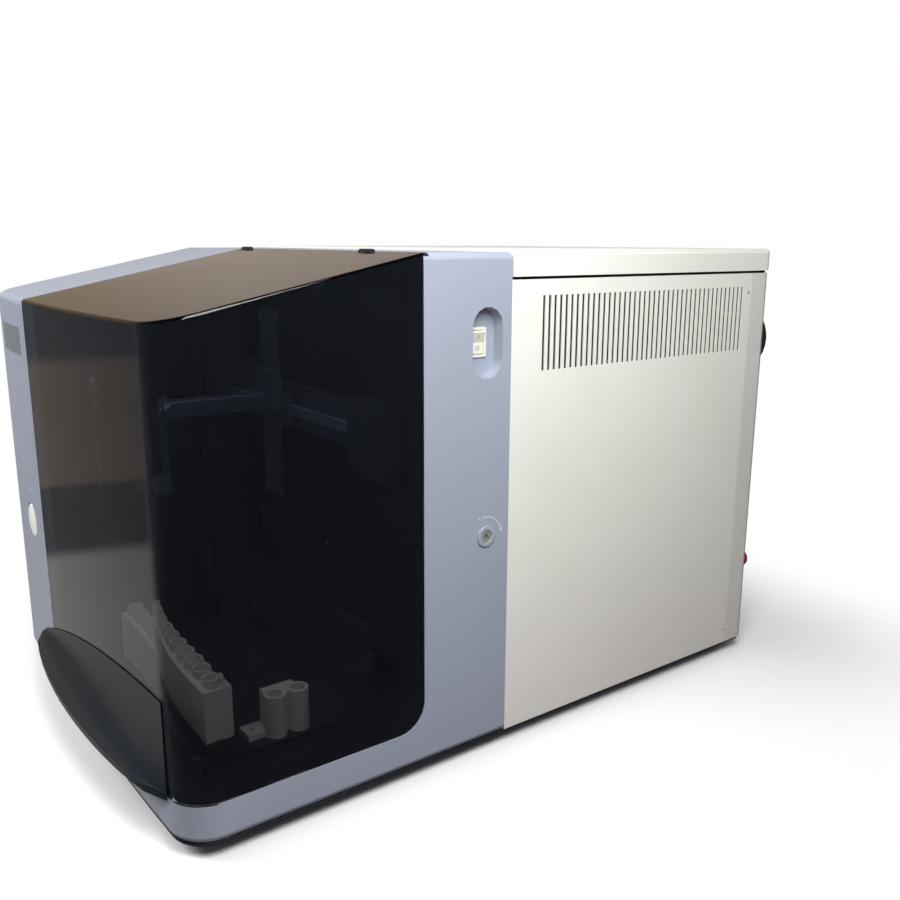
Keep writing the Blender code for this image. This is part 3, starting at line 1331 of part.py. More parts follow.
def tube_adapter():
    """Two round lobes side by side with a notch between them, and a foot with a screw hole."""
    right = RIGHT - DECK_RIGHT_INSET - SHEET
    low = DECK_Z + GAP
    top = BODY_BOTTOM + ADAPTER_TOP
    middle_x = right - ADAPTER_LOBE
    back = (right - ADAPTER_DEPTH, middle_x)
    half = ADAPTER_PITCH / 2
    rear_z = (low, top - ADAPTER_NOTCH / 4)
    adapter = block("tube_adapter", back, about(ADAPTER_Y, ADAPTER_PITCH + ADAPTER_LOBE), rear_z)
    for y in (ADAPTER_Y - half, ADAPTER_Y + half):
        join(adapter, rod("lobe", (middle_x, y, low), (middle_x, y, top), ADAPTER_LOBE, ROUND_SIDES))
    foot_y = (ADAPTER_Y - half - ADAPTER_LOBE - ADAPTER_FOOT, ADAPTER_Y)
    join(adapter, block("foot", (back[0] + SHEET, middle_x), foot_y, (low, low + ADAPTER_FOOT_HEIGHT)))
    cutters = []
    for y in (ADAPTER_Y - half, ADAPTER_Y + half):
        floor = low + ADAPTER_FOOT_HEIGHT
        cutters.append(rod("well", (middle_x, y, floor), (middle_x, y, top + CUT), RACK_BORE))
    notch_z = (top - ADAPTER_NOTCH, top + CUT)
    cutters.append(block("notch", (middle_x - SHEET, right + CUT), about(ADAPTER_Y, RACK_SLIT), notch_z))
    hole_y = foot_y[0] + ADAPTER_FOOT / 2
    hole_x = (back[0] + middle_x) / 2
    cutters.append(rod("screw_hole", (hole_x, hole_y, low - CUT), (hole_x, hole_y, low + CUT), ADAPTER_HOLE))
    return cut(adapter, *cutters)


def beam_right():
    return RIGHT - BEAM_RIGHT_INSET


def x_beam():
    """Slotted aluminium section across the bay."""
    low, high = BEAM_BOTTOM, BEAM_TOP
    front, back = BEAM_FRONT, BEAM_FRONT + BEAM_DEPTH
    middle = (low + high) / 2
    mouth = BEAM_SLOT_MOUTH
    slot_back, slot_low = back - BEAM_SLOT, high - BEAM_SLOT
    outline = [(front, low), (back, low), (back, middle - mouth), (slot_back, middle - mouth)]
    outline += [(slot_back, middle + mouth), (back, middle + mouth), (back, high)]
    outline += [(BEAM_Y + mouth, high), (BEAM_Y + mouth, slot_low), (BEAM_Y - mouth, slot_low)]
    outline += [(BEAM_Y - mouth, high), (front, high)]
    ends = (BEAM_LEFT + BRACKET_THICKNESS + GAP, beam_right() - BRACKET_THICKNESS - GAP)
    return outline_solid("x_beam", [outline], ends, "X")


def x_rail():
    """The ground guide rail on the front of the beam."""
    middle = (BEAM_BOTTOM + BEAM_TOP) / 2
    high, low = middle + RAIL_HEIGHT / 2, middle - RAIL_HEIGHT / 2
    back = BEAM_FRONT - GAP
    front = back - RAIL_DEPTH
    waist_front, waist_back = front + RAIL_GROOVE, back - RAIL_GROOVE
    outline = [(front, low), (waist_front, low), (waist_front + RAIL_GROOVE / 2, low + RAIL_GROOVE / 2)]
    outline += [(waist_back, low), (back, low), (back, high), (waist_back, high)]
    outline += [(waist_front + RAIL_GROOVE / 2, high - RAIL_GROOVE / 2), (waist_front, high), (front, high)]
    ends = (BEAM_LEFT + BRACKET_THICKNESS + GAP, beam_right() - BRACKET_THICKNESS - GAP)
    return outline_solid("x_rail", [outline], ends, "X")


def beam_bracket(name, x_range):
    """An upright plate with a sloped nose that carries one end of the beam from the back plate."""
    low, high = BEAM_BOTTOM - BRACKET_REACH_DOWN, BEAM_TOP + BRACKET_REACH_UP
    front = COVER_LENGTH - BRACKET_REAR_INSET
    back = BAY_BACK - GAP
    outline = [(back, low), (back, high), (front, high), (front, low + BRACKET_NOSE)]
    outline += [(front + BRACKET_NOSE, low)]
    return outline_solid(name, [outline], x_range, "X")


def x_drive():
    """Motor and belt housing at the right end of the beam, behind its bracket."""
    left = beam_right() - BRACKET_THICKNESS - GAP - 2 * DRIVE_RADIUS
    middle_x = left + DRIVE_RADIUS
    top = BEAM_BOTTOM - GAP
    y = BEAM_Y
    motor = block("x_drive", (left, left + 2 * DRIVE_RADIUS), about(y, BEAM_DEPTH), (top - DRIVE_LENGTH, top))
    round_edges(motor, BRACKET_THICKNESS, lambda edge: runs_along(edge, 2), 2)
    shaft = (middle_x, y, top - DRIVE_LENGTH)
    low = (middle_x, y, top - DRIVE_LENGTH - BRACKET_THICKNESS * 2)
    return join(motor, rod("cap", (shaft[0], shaft[1], shaft[2] + GAP), low, BEAM_DEPTH / 3, ROUND_SIDES))


def carriage():
    """Runs along the rail, which it wraps, and carries the upright guide."""
    middle = (BEAM_BOTTOM + BEAM_TOP) / 2
    back = BEAM_FRONT - GAP - RAIL_GROOVE
    runner_z = about(middle, CARRIAGE_HEIGHT)
    runner = block("carriage", about(CARRIAGE_X, CARRIAGE_WIDTH), (GUIDE_BACK, back), runner_z)
    channel_y = (RAIL_FRONT - GAP, back + CUT)
    wide = about(CARRIAGE_X, CARRIAGE_WIDTH + 2 * CUT)
    cut(runner, block("channel", wide, channel_y, about(middle, RAIL_HEIGHT + 2 * GAP)))
    guide_z = (BEAM_BOTTOM - GUIDE_REACH_DOWN, BODY_TOP - GUIDE_DROP)
    guide = block("guide", about(CARRIAGE_X, GUIDE_WIDTH), (GUIDE_FRONT, GUIDE_BACK + GAP), guide_z)
    return join(runner, guide)


def lift_slide():
    """Wraps the upright guide, and reaches forward as the arm that carries the gripper."""
    shaft_z = SHAFT_Z
    front = GUIDE_FRONT - GAP - LIFT_THICKNESS
    back = GUIDE_BACK + GAP
    middle = shaft_z + LIFT_HEIGHT / 2 - ARM_HEIGHT / 2
    slide_z = about(middle, LIFT_HEIGHT)
    slide = block("lift_slide", about(CARRIAGE_X, LIFT_WIDTH), (front, back - 2 * GAP), slide_z)
    channel = (GUIDE_FRONT - GAP, back + CUT)
    width = about(CARRIAGE_X, GUIDE_WIDTH + 2 * GAP)
    cut(slide, block("channel", width, channel, about(middle, LIFT_HEIGHT + 2 * CUT)))
    arm_y = (SHAFT_Y, front + GAP)
    arm = block("arm", about(CARRIAGE_X, ARM_WIDTH), arm_y, about(shaft_z, ARM_HEIGHT))
    round_edges(arm, LIFT_LIP, lambda edge: runs_along(edge, 1), 2)
    return join(slide, arm)


def gripper_head():
    """The turning head in front of the arm: a disc, a plate hanging from it and a fork for the fingers."""
    shaft_z = SHAFT_Z
    back = SHAFT_Y - GAP
    front = back - HEAD_DEPTH
    ends = ((CARRIAGE_X, front, shaft_z), (CARRIAGE_X, back, shaft_z))
    head = rod("gripper_head", *ends, HEAD_RADIUS, ROUND_SIDES)
    low = shaft_z - HEAD_DROP
    plate_y = (front + GAP, front + HEAD_DEPTH / 2)
    plate = block("plate", about(CARRIAGE_X, HEAD_WIDTH), plate_y, (low, shaft_z))
    jaw_y = (front - HEAD_FORK + HEAD_DEPTH, front + HEAD_DEPTH / 2)
    jaw = block("jaw", about(CARRIAGE_X, JAW_WIDTH), jaw_y, (low - JAW_HEIGHT, low + GAP))
    join(head, plate, jaw)

    def on_jaw(edge):
        return all_points(edge, lambda co: co.z < low - 2 * GAP) and runs_along(edge, 1)

    round_edges(head, LIFT_LIP / 2, on_jaw, 2)
    boss = (CARRIAGE_X, front - LIFT_LIP, shaft_z)
    return join(head, rod("boss", boss, (CARRIAGE_X, front + GAP, shaft_z), HEAD_RADIUS / 2, SMALL_SIDES))


def gripper_finger(name, side):
    """One jaw under the fork, with a hollow for the tube."""
    low = SHAFT_Z - HEAD_DROP - JAW_HEIGHT
    front = SHAFT_Y - GAP - HEAD_DEPTH - HEAD_FORK + HEAD_DEPTH
    middle = front + FINGER_DEPTH / 2
    inner = CARRIAGE_X + side * FINGER_OPENING / 2
    outer = inner + side * FINGER_THICKNESS * 2
    span = (min(inner, outer), max(inner, outer))
    high = low - GAP
    foot_piece = block(name, span, about(middle, FINGER_DEPTH), (high - FINGER_THICKNESS, high))
    tip = inner + side * FINGER_THICKNESS
    tip_span = (min(inner, tip), max(inner, tip))
    jaw_z = (high - FINGER_DROP, high - FINGER_THICKNESS / 2)
    join(foot_piece, block("jaw", tip_span, about(middle, FINGER_DEPTH), jaw_z))
    groove_top = high - FINGER_THICKNESS
    ends = ((CARRIAGE_X, middle, low - FINGER_DROP - CUT), (CARRIAGE_X, middle, groove_top))
    return cut(foot_piece, rod("groove", ends[0], ends[1], RACK_BORE - GAP, ROUND_SIDES))


def tower_x():
    """Left edge of the probe tower, beside the bay's liner."""
    return COVER_LEFT + 2 * GAP + PAN_THICKNESS + GAP


def tower_back():
    return COVER_LENGTH - TOWER_BACK_GAP - COVER_CORNER_RADIUS / 2


def probe_tower():
    """An upright channel at the left that guides the probe."""
    left = tower_x()
    right = left + TOWER_WIDTH
    back = tower_back()
    front = back - TOWER_DEPTH
    wall = TOWER_WALL
    outline = [(left, front), (left + wall, front), (left + wall, back - wall), (right - wall, back - wall)]
    outline += [(right - wall, front), (right, front), (right, back), (left, back)]
    return outline_solid("probe_tower", [outline], (PAN_TOP + GAP, BODY_TOP - TOWER_DROP))


def probe_slide():
    """The block in the tower, with the arm that reaches over the rack."""
    left = tower_x() + TOWER_WALL + GAP
    right = tower_x() + TOWER_WIDTH - TOWER_WALL - GAP
    back = tower_back() - TOWER_WALL - GAP
    front = tower_back() - TOWER_DEPTH
    z = PROBE_Z
    slide = block("probe_slide", (left, right), (front, back), about(z, PROBE_BLOCK_HEIGHT))
    arm_y = (PROBE_Y - PROBE_ARM_WIDTH / 2, front + GAP)
    arm = block("arm", about(probe_x(), PROBE_ARM_WIDTH), arm_y, about(z, PROBE_ARM_HEIGHT))
    round_edges(arm, LIFT_LIP, lambda edge: runs_along(edge, 2), 2)
    join(slide, arm)
    hole = rod("hole", (probe_x(), PROBE_Y, z - CUT), (probe_x(), PROBE_Y, z + CUT), NEEDLE_HUB_RADIUS + GAP)
    return cut(slide, hole)


def probe_x():
    return tower_x() + TOWER_WIDTH / 2


def probe_needle():
    """Hub and needle through the end of the probe arm."""
    z = PROBE_Z
    top = z + PROBE_ARM_HEIGHT / 2 + NEEDLE_HUB_HEIGHT
    collar = z + PROBE_ARM_HEIGHT / 2 + GAP
    low = z - PROBE_ARM_HEIGHT / 2 - NEEDLE_HUB_RADIUS
    wide = NEEDLE_HUB_RADIUS * NEEDLE_COLLAR_SHARE
    tip = BODY_BOTTOM + NEEDLE_TIP
    profile = [(0, top), (NEEDLE_HUB_RADIUS, top), (wide, top - NEEDLE_HUB_RADIUS), (wide, collar)]
    profile += [(NEEDLE_HUB_RADIUS, collar), (NEEDLE_HUB_RADIUS, low)]
    profile += [(NEEDLE_RADIUS, low - NEEDLE_HUB_RADIUS), (NEEDLE_RADIUS, tip + NEEDLE_HUB_RADIUS), (0, tip)]
    return turned("probe_needle", profile, (probe_x(), PROBE_Y, 0), "Z", SMALL_SIDES)


def fan_ring(outer, depth):
    """Profile points of the fan's housing, from its back edge round its outside."""
    back = BODY_LENGTH + depth
    curve = arc(outer - FAN_ROUND, back - FAN_ROUND, FAN_ROUND, 90, 0, 4)
    return [(FAN_BORE, back)] + curve


def fan_housing():
    """Round duct with three struts that hold the motor."""
    z = FAN_Z
    low = BODY_LENGTH + GAP
    profile = fan_ring(FAN_RADIUS, FAN_DEPTH)
    profile += [(FAN_RADIUS, low), (FAN_BORE, low), (FAN_BORE, BODY_LENGTH + FAN_DEPTH)]
    housing = turned("fan_housing", profile, (FAN_X, 0, z), "Y", FAN_SIDES)
    strut_y = (low, low + FAN_STRUT_DEPTH)
    ends = ((FAN_X, low, z), (FAN_X, strut_y[1] + FAN_STRUT_DEPTH, z))
    hub = rod("motor", *ends, FAN_HUB - FAN_STRUT / 2, ROUND_SIDES)
    for i in range(FAN_STRUTS):
        angle = math.radians(360 * i / FAN_STRUTS + FAN_STRUT_START)
        reach = FAN_BORE + FAN_STRUT / 2
        strut = block("strut", (0, reach), strut_y, about(0, FAN_STRUT))
        turn = Matrix.Translation((FAN_X, 0, z)) @ Matrix.Rotation(angle, 4, "Y")
        edit(strut, lambda bm: bmesh.ops.transform(bm, matrix=turn, verts=bm.verts))
        join(hub, strut)
    return join(housing, hub)


def fan_rotor():
    """Hub and twisted blades."""
    z = FAN_Z
    front = BODY_LENGTH + GAP + 2 * FAN_STRUT_DEPTH + GAP
    back = front + FAN_HUB_DEPTH
    hub_edge = FAN_BLADE_THICKNESS
    profile = [(0, back), (FAN_HUB - hub_edge, back), (FAN_HUB, back - hub_edge)]
    profile += [(FAN_HUB, front), (0, front)]
    rotor = turned("fan_rotor", profile, (FAN_X, 0, z), "Y", HUB_SIDES)
    tip = FAN_BORE - FAN_BLADE_TIP_GAP
    middle = (front + back) / 2
    half = FAN_BLADE_CHORD / 2
    for i in range(FAN_BLADES):
        sections = []
        for step in range(4):
            radius = FAN_HUB - hub_edge + (tip - FAN_HUB + hub_edge) * step / 3
            pitch = FAN_BLADE_PITCH * (1 + (3 - step) / 6)
            cos, sin = math.cos(pitch), math.sin(pitch)
            corners = ((-half, -FAN_BLADE_THICKNESS / 2), (half, -FAN_BLADE_THICKNESS / 2))
            corners += ((half, FAN_BLADE_THICKNESS / 2), (-half, FAN_BLADE_THICKNESS / 2))
            flat = [(along * cos - thick * sin, along * sin + thick * cos) for along, thick in corners]
            reach = math.sqrt(radius**2 - (half * cos) ** 2)
            sections.append([(across, deep, reach) for across, deep in flat])
        blade = loft("blade", sections)
        turn = Matrix.Translation((FAN_X, middle, z)) @ Matrix.Rotation(2 * math.pi * i / FAN_BLADES, 4, "Y")
        edit(blade, lambda bm: bmesh.ops.transform(bm, matrix=turn, verts=bm.verts))
        join(rotor, blade)
    return rotor


def ring(name, radius, centre, wire):
    """A closed wire ring about the Y axis."""
    profile = arc(radius, 0, wire, 360, 0, WIRE_STEPS)
    return turned(name, profile, centre, "Y", ROUND_SIDES)


def fan_guard():
    """Concentric wire rings on crossed spokes."""
    z = FAN_Z
    wire_y = BODY_LENGTH + FAN_DEPTH + GAP + GUARD_WIRE
    outermost = FAN_BORE + GUARD_WIRE
    spoke_y = wire_y + GUARD_WIRE / 2
    ends = ((FAN_X, wire_y - GUARD_WIRE, z), (FAN_X, spoke_y + GUARD_WIRE, z))
    guard = rod("fan_guard", *ends, FAN_HUB / 3, SMALL_SIDES)
    for i in range(GUARD_SPOKES // 2):
        angle = math.radians(45 + 90 * i)
        reach = Vector((math.cos(angle), 0, math.sin(angle))) * (outermost + 2 * GUARD_WIRE)
        middle = Vector((FAN_X, spoke_y, z))
        join(guard, rod("spoke", middle - reach, middle + reach, GUARD_WIRE, WIRE_SIDES))
    for i in range(GUARD_RINGS):
        radius = outermost * (i + 1) / GUARD_RINGS
        join(guard, ring("wire", radius, (FAN_X, wire_y, z), GUARD_WIRE))
    return guard


def port_z():
    return BODY_BOTTOM + PORT_Z


def port_places():
    return [RIGHT - PORT_FIRST_INSET - i * PORT_PITCH for i in range(PORT_COUNT)]


def fluid_port_block():
    """A plate on the back with four threaded couplings and their nozzles."""
    places = port_places()
    margin = PORT_NUT + PORT_PLATE_MARGIN
    x_range = (places[-1] - margin, places[0] + margin)
    plate_y = (BODY_LENGTH + GAP, BODY_LENGTH + GAP + PORT_PLATE)
    outline = chamfered(x_range, about(port_z(), 2 * margin), PORT_PLATE_MARGIN)
    plate = outline_solid("fluid_port_block", [outline], plate_y, "Y")
    z = port_z()
    start = BODY_LENGTH - SHEET * 2
    nut = plate_y[1] + PORT_NUT_DEPTH
    thread = BODY_LENGTH + PORT_BODY_LENGTH
    tip = BODY_LENGTH + PORT_NOZZLE_LENGTH
    for x in places:
        join(plate, rod("nut", (x, plate_y[1] - GAP, z), (x, nut, z), PORT_NUT, PORT_NUT_SIDES))
        join(plate, rod("body", (x, start, z), (x, thread, z), PORT_BODY))
        join(plate, rod("nozzle", (x, start, z), (x, tip, z), PORT_NOZZLE))
        cut(plate, rod("bore", (x, BODY_LENGTH + PORT_NUT_DEPTH, z), (x, tip + CUT, z), PORT_BORE))
    return plate


def port_cap():
    """The ribbed coloured cap on the first coupling."""
    x = port_places()[0]
    start = BODY_LENGTH + PORT_BODY_LENGTH + GAP
    end = start + CAP_LENGTH
    wall = PORT_NOZZLE + GAP
    profile = [(wall, end), (CAP_RADIUS - CAP_GRIP_DEPTH * 2, end), (CAP_RADIUS, end - CAP_GRIP_DEPTH * 2)]
    profile += [(CAP_RADIUS, start), (wall, start), (wall, end)]
    cap = turned("port_cap", profile, (x, 0, port_z()), "Y", CAP_GRIPS * 2)
    for i in range(CAP_GRIPS):
        angle = 2 * math.pi * i / CAP_GRIPS
        place = Vector((x, 0, port_z())) + CAP_RADIUS * Vector((math.cos(angle), 0, math.sin(angle)))
        ends = (place + Vector((0, start - CUT, 0)), place + Vector((0, end + CUT, 0)))
        cut(cap, rod("grip", ends[0], ends[1], CAP_GRIP_DEPTH, WIRE_SIDES))
    return cap


def power_inlet():
    """Three-pin appliance inlet: a flange, a body through the back and a socket with its pins."""
    z = BODY_BOTTOM + INLET_Z
    face = BODY_LENGTH + GAP
    outline = chamfered(about(INLET_X, INLET_WIDTH), about(z, INLET_HEIGHT), INLET_FLANGE)
    inlet = outline_solid("power_inlet", [outline], (face, face + INLET_FLANGE), "Y")
    body_y = (face - INLET_BODY_DEPTH, face + GAP)
    join(inlet, block("body", about(INLET_X, INLET_BODY_WIDTH), body_y, about(z, INLET_BODY_HEIGHT)))
    socket = chamfered(about(INLET_X, INLET_SOCKET_WIDTH), about(z, INLET_SOCKET_HEIGHT), INLET_SOCKET_CORNER)
    floor = face + INLET_FLANGE - INLET_SOCKET_DEPTH
    cut(inlet, outline_solid("socket", [socket], (floor, face + CUT), "Y"))
    for place in (-1, 0, 1):
        x_range = about(INLET_X + place * INLET_PIN_PITCH, INLET_PIN_WIDTH)
        lift = INLET_PIN_WIDTH if place == 0 else -INLET_PIN_WIDTH / 2
        z_range = about(z + lift, INLET_PIN_HEIGHT)
        join(inlet, block("pin", x_range, (floor - GAP, floor + INLET_PIN_LENGTH), z_range))
    return inlet


def data_port_plate():
    """A plate with three sockets for the analyser's computer."""
    z = BODY_BOTTOM + DATA_Z
    face = BODY_LENGTH + GAP
    outline = chamfered(about(DATA_X, DATA_WIDTH), about(z, DATA_HEIGHT), DATA_PLATE)
    plate = outline_solid("data_port_plate", [outline], (face, face + DATA_PLATE), "Y")
    width = DATA_WIDTH - 2 * DATA_BOX_MARGIN
    height = DATA_HEIGHT - 2 * DATA_BOX_MARGIN
    join(plate, block("box", about(DATA_X, width), (face - DATA_BOX_DEPTH, face + GAP), about(z, height)))
    for i in range(DATA_PORTS):
        middle = z + (i - (DATA_PORTS - 1) / 2) * DATA_PORT_PITCH
        deep = (face + DATA_PLATE - DATA_PORT_DEPTH, face + CUT)
        cut(plate, block("socket", about(DATA_X, DATA_PORT_WIDTH), deep, about(middle, DATA_PORT_HEIGHT)))
    return plate


def power_supply():
    """Cased supply with cooling slots in its top."""
    low = BODY_BOTTOM
    width, length, height = SUPPLY_SIZE
    case = block("power_supply", about(SUPPLY_X, width), about(SUPPLY_Y, length), (low, low + height))
    round_edges(case, SUPPLY_SLOT, lambda edge: runs_along(edge, 2), 2)
    x_range = about(SUPPLY_X, width * SUPPLY_SLOT_SHARE)
    z_range = (low + height - SUPPLY_SLOT, low + height + CUT)
    first = SUPPLY_Y - SUPPLY_SLOT_PITCH * (SUPPLY_SLOTS - 1) / 2
    places = [first + SUPPLY_SLOT_PITCH * i for i in range(SUPPLY_SLOTS)]
    return cut(case, blocks("slots", [(x_range, about(y, SUPPLY_SLOT), z_range) for y in places]))


def vacuum_pump():
    """Motor drum on a saddle, with a pump head at one end."""
    z = BODY_BOTTOM + PUMP_SADDLE + PUMP_RADIUS
    ends = about(PUMP_Y, PUMP_LENGTH)
    pump = rod("vacuum_pump", (PUMP_X, ends[0], z), (PUMP_X, ends[1], z), PUMP_RADIUS, ROUND_SIDES)
    saddle_y = about(PUMP_Y, PUMP_LENGTH * PUMP_SADDLE_SHARE)
    saddle_z = (BODY_BOTTOM, z - PUMP_RADIUS / 2)
    join(pump, block("saddle", about(PUMP_X, PUMP_SADDLE_WIDTH), saddle_y, saddle_z))
    head_y = (ends[0] - PUMP_HEAD_LENGTH, ends[0] + GAP)
    head_z = (z - PUMP_RADIUS / 2, z + PUMP_RADIUS + PUMP_HEAD_HEIGHT)
    head = block("head", about(PUMP_X, PUMP_RADIUS * PUMP_BLOCK_SHARE), head_y, head_z)
    round_edges(head, LIFT_LIP, is_sharp, 2)
    return join(pump, head)


def main_board():
    """Circuit board on four posts behind the bulkhead."""
    z = BODY_BOTTOM + BOARD_Z
    front = BULKHEAD_BACK + GAP
    face = front + BOARD_STANDOFF
    x_range, z_range = about(BOARD_X, BOARD_WIDTH), about(z, BOARD_HEIGHT)
    board = block("main_board", x_range, (face, face + BOARD_THICKNESS), z_range)
    for x in (x_range[0] + BOARD_POST_INSET, x_range[1] - BOARD_POST_INSET):
        for height in (z_range[0] + BOARD_POST_INSET, z_range[1] - BOARD_POST_INSET):
            join(board, rod("post", (x, front, height), (x, face + GAP, height), BOARD_POST_RADIUS))
    return board


def optics_table():
    """A folded sheet bridge that stands on the base."""
    high = BODY_BOTTOM + TABLE_HEIGHT
    left, right = about(TABLE_X, TABLE_WIDTH)
    low = BODY_BOTTOM
    thick = 2 * SHEET
    outline = [(left, low), (left + thick, low), (left + thick, high - thick), (right - thick, high - thick)]
    outline += [(right - thick, low), (right, low), (right, high), (left, high)]
    return outline_solid("optics_table", [outline], about(TABLE_Y, TABLE_DEPTH), "Y")


def optics_bench():
    """Cast optical block with its laser tube and detector."""
    low = BODY_BOTTOM + TABLE_HEIGHT + GAP
    width, length, height = OPTICS_SIZE
    bench = block("optics_bench", about(TABLE_X, width), about(TABLE_Y, length), (low, low + height))
    round_edges(bench, LIFT_LIP, lambda edge: runs_along(edge, 2), 2)
    left = TABLE_X - width / 2
    z = low + height / 2
    ends = ((left - OPTICS_TUBE_LENGTH / 2, TABLE_Y, z), (left + CUT, TABLE_Y, z))
    tube = rod("laser", *ends, OPTICS_TUBE_RADIUS, ROUND_SIDES)
    roof = low + height
    ends = ((TABLE_X, TABLE_Y, roof - CUT), (TABLE_X, TABLE_Y, roof + OPTICS_TUBE_LENGTH / 2))
    detector = rod("detector", *ends, OPTICS_TUBE_RADIUS, ROUND_SIDES)
    return join(bench, tube, detector)


MATERIALS = {
    "frame_plastic": ((0.36, 0.40, 0.50), 0.45, 0.0),
    "cream_steel": ((0.80, 0.80, 0.74), 0.42, 0.0),
    "tinted_cover": ((0.02, 0.025, 0.04), 0.06, 0.0),
    "cream_plastic": ((0.78, 0.78, 0.68), 0.40, 0.0),
    "black_plastic": ((0.02, 0.02, 0.022), 0.45, 0.0),
    "dark_steel": ((0.07, 0.08, 0.09), 0.50, 0.0),
    "rubber": ((0.02, 0.02, 0.02), 0.85, 0.0),
    "plated_steel": ((0.55, 0.56, 0.57), 0.32, 1.0),
    "aluminium": ((0.62, 0.63, 0.65), 0.35, 1.0),
    "lamp": ((0.10, 0.45, 0.16), 0.20, 0.0),
    "red_plastic": ((0.45, 0.02, 0.03), 0.40, 0.0),
    "board_green": ((0.02, 0.16, 0.08), 0.55, 0.0),
}


def material(name):
    found = bpy.data.materials.get(name)
    if found is None:
        colour, roughness, metallic = MATERIALS[name]
        found = bpy.data.materials.new(name)
        found.use_nodes = True
        shader = found.node_tree.nodes["Principled BSDF"]
        shader.inputs["Base Color"].default_value = (*colour, 1)
        shader.inputs["Roughness"].default_value = roughness
        shader.inputs["Metallic"].default_value = metallic
        found.diffuse_color = (*colour, 1)
    return found


def body(name, anchor, parent=None):
    """An empty at a body's joint; its pieces and the bodies it carries hang from it."""
    empty = link(name, None)
    empty["anchor"] = tuple(anchor)
    if parent is not None:
        empty.parent = parent
        empty.location = Vector(anchor) - Vector(parent["anchor"])
    return empty


def settle(obj, parent, slot, origin=None):
    """Gives a piece its material and parent, with its own origin at a point or at its middle."""
    mesh = obj.data
    mesh.materials.clear()
    mesh.materials.append(material(slot))
    if origin is None:
        low = [min(vert.co[i] for vert in mesh.vertices) for i in range(3)]
        high = [max(vert.co[i] for vert in mesh.vertices) for i in range(3)]
        origin = (Vector(low) + Vector(high)) / 2
    mesh.transform(Matrix.Translation(-Vector(origin)))
    mesh.shade_smooth()
    mesh.set_sharp_from_angle(angle=SMOOTH_ANGLE)
    mesh.name = obj.name
    obj.parent = parent
    obj.location = Vector(origin) - Vector(parent["anchor"])


def housing_pieces(root):
    settle(front_frame(), root, "frame_plastic")
    settle(base_plate(), root, "dark_steel")
    rear_y = BODY_LENGTH - FOOT_INSET
    for name, x, y in (
        ("foot_front_left", LEFT + FOOT_INSET, FOOT_FRONT),
        ("foot_front_right", RIGHT - FOOT_INSET, FOOT_FRONT),
        ("foot_rear_left", LEFT + FOOT_INSET, rear_y),
        ("foot_rear_right", RIGHT - FOOT_INSET, rear_y),
    ):
        settle(foot(name, x, y), root, "rubber")
    settle(side_panel("right_side_panel", 1), root, "cream_steel")
    settle(side_panel("left_side_panel", -1), root, "cream_steel")
    settle(rear_panel(), root, "cream_steel")
    settle(lid(), root, "cream_steel")
    settle(lid_gasket(), root, "rubber")
    settle(bulkhead(), root, "plated_steel")


def control_pieces(root):
    settle(button_bracket(), root, "plated_steel")
    settle(status_lamp(), root, "lamp")
    settle(switch_housing(), root, "cream_plastic")
    settle(lock_barrel(), root, "plated_steel")
    button = touch_button()
    face = (BUTTON_X, front_y(BUTTON_X), BODY_BOTTOM + BUTTON_Z)
    settle(button, body("touch_button_slide", face, root), "cream_plastic", face)
    pivot = rocker_pivot()
    settle(power_rocker(), body("rocker_pivot", pivot, root), "cream_plastic", pivot)
    axis = (RIGHT, POCKET_Y, LOCK_Z)
    settle(lock_core(), body("lock_axis", axis, root), "plated_steel", axis)


def cover_pieces(root):
    axis = (0, HINGE_Y, BODY_TOP)
    cover = body("cover_hinge", axis, root)
    settle(cover_shell(), cover, "tinted_cover", axis)
    for name, place in zip(("hinge_leaf_left", "hinge_leaf_right"), HINGE_PLACES):
        settle(hinge_leaf(name, place), cover, "black_plastic", (place, HINGE_Y, BODY_TOP))
    for index, name in enumerate(("hinge_block_left", "hinge_block_right")):
        settle(hinge_block(name, index), root, "black_plastic")


def bay_pieces(root):
    settle(bay_back_plate(), root, "dark_steel")
    settle(bay_side_liner(), root, "dark_steel")
    settle(bay_floor_pan(), root, "dark_steel")
    settle(rack_deck(), root, "dark_steel")
    left = tower_x() + DECK_LEFT_INSET
    settle(deck_support("deck_support_front", left, DECK_FRONT + SHEET), root, "plated_steel")
    left = tower_x() + TOWER_WIDTH + DECK_LEFT_INSET
    rear = DECK_BACK - DECK_SUPPORT - SHEET
    settle(deck_support("deck_support_rear", left, rear), root, "plated_steel")
    settle(tray_wall(), root, "dark_steel")
    settle(wash_cup(), root, "black_plastic")
    settle(tube_adapter(), root, "cream_plastic")
    settle(x_beam(), root, "aluminium")
    settle(x_rail(), root, "plated_steel")
    left = (BEAM_LEFT, BEAM_LEFT + BRACKET_THICKNESS)
    settle(beam_bracket("beam_bracket_left", left), root, "dark_steel")
    right = (beam_right() - BRACKET_THICKNESS, beam_right())
    settle(beam_bracket("beam_bracket_right", right), root, "dark_steel")
    settle(x_drive(), root, "black_plastic")
    settle(probe_tower(), root, "dark_steel")


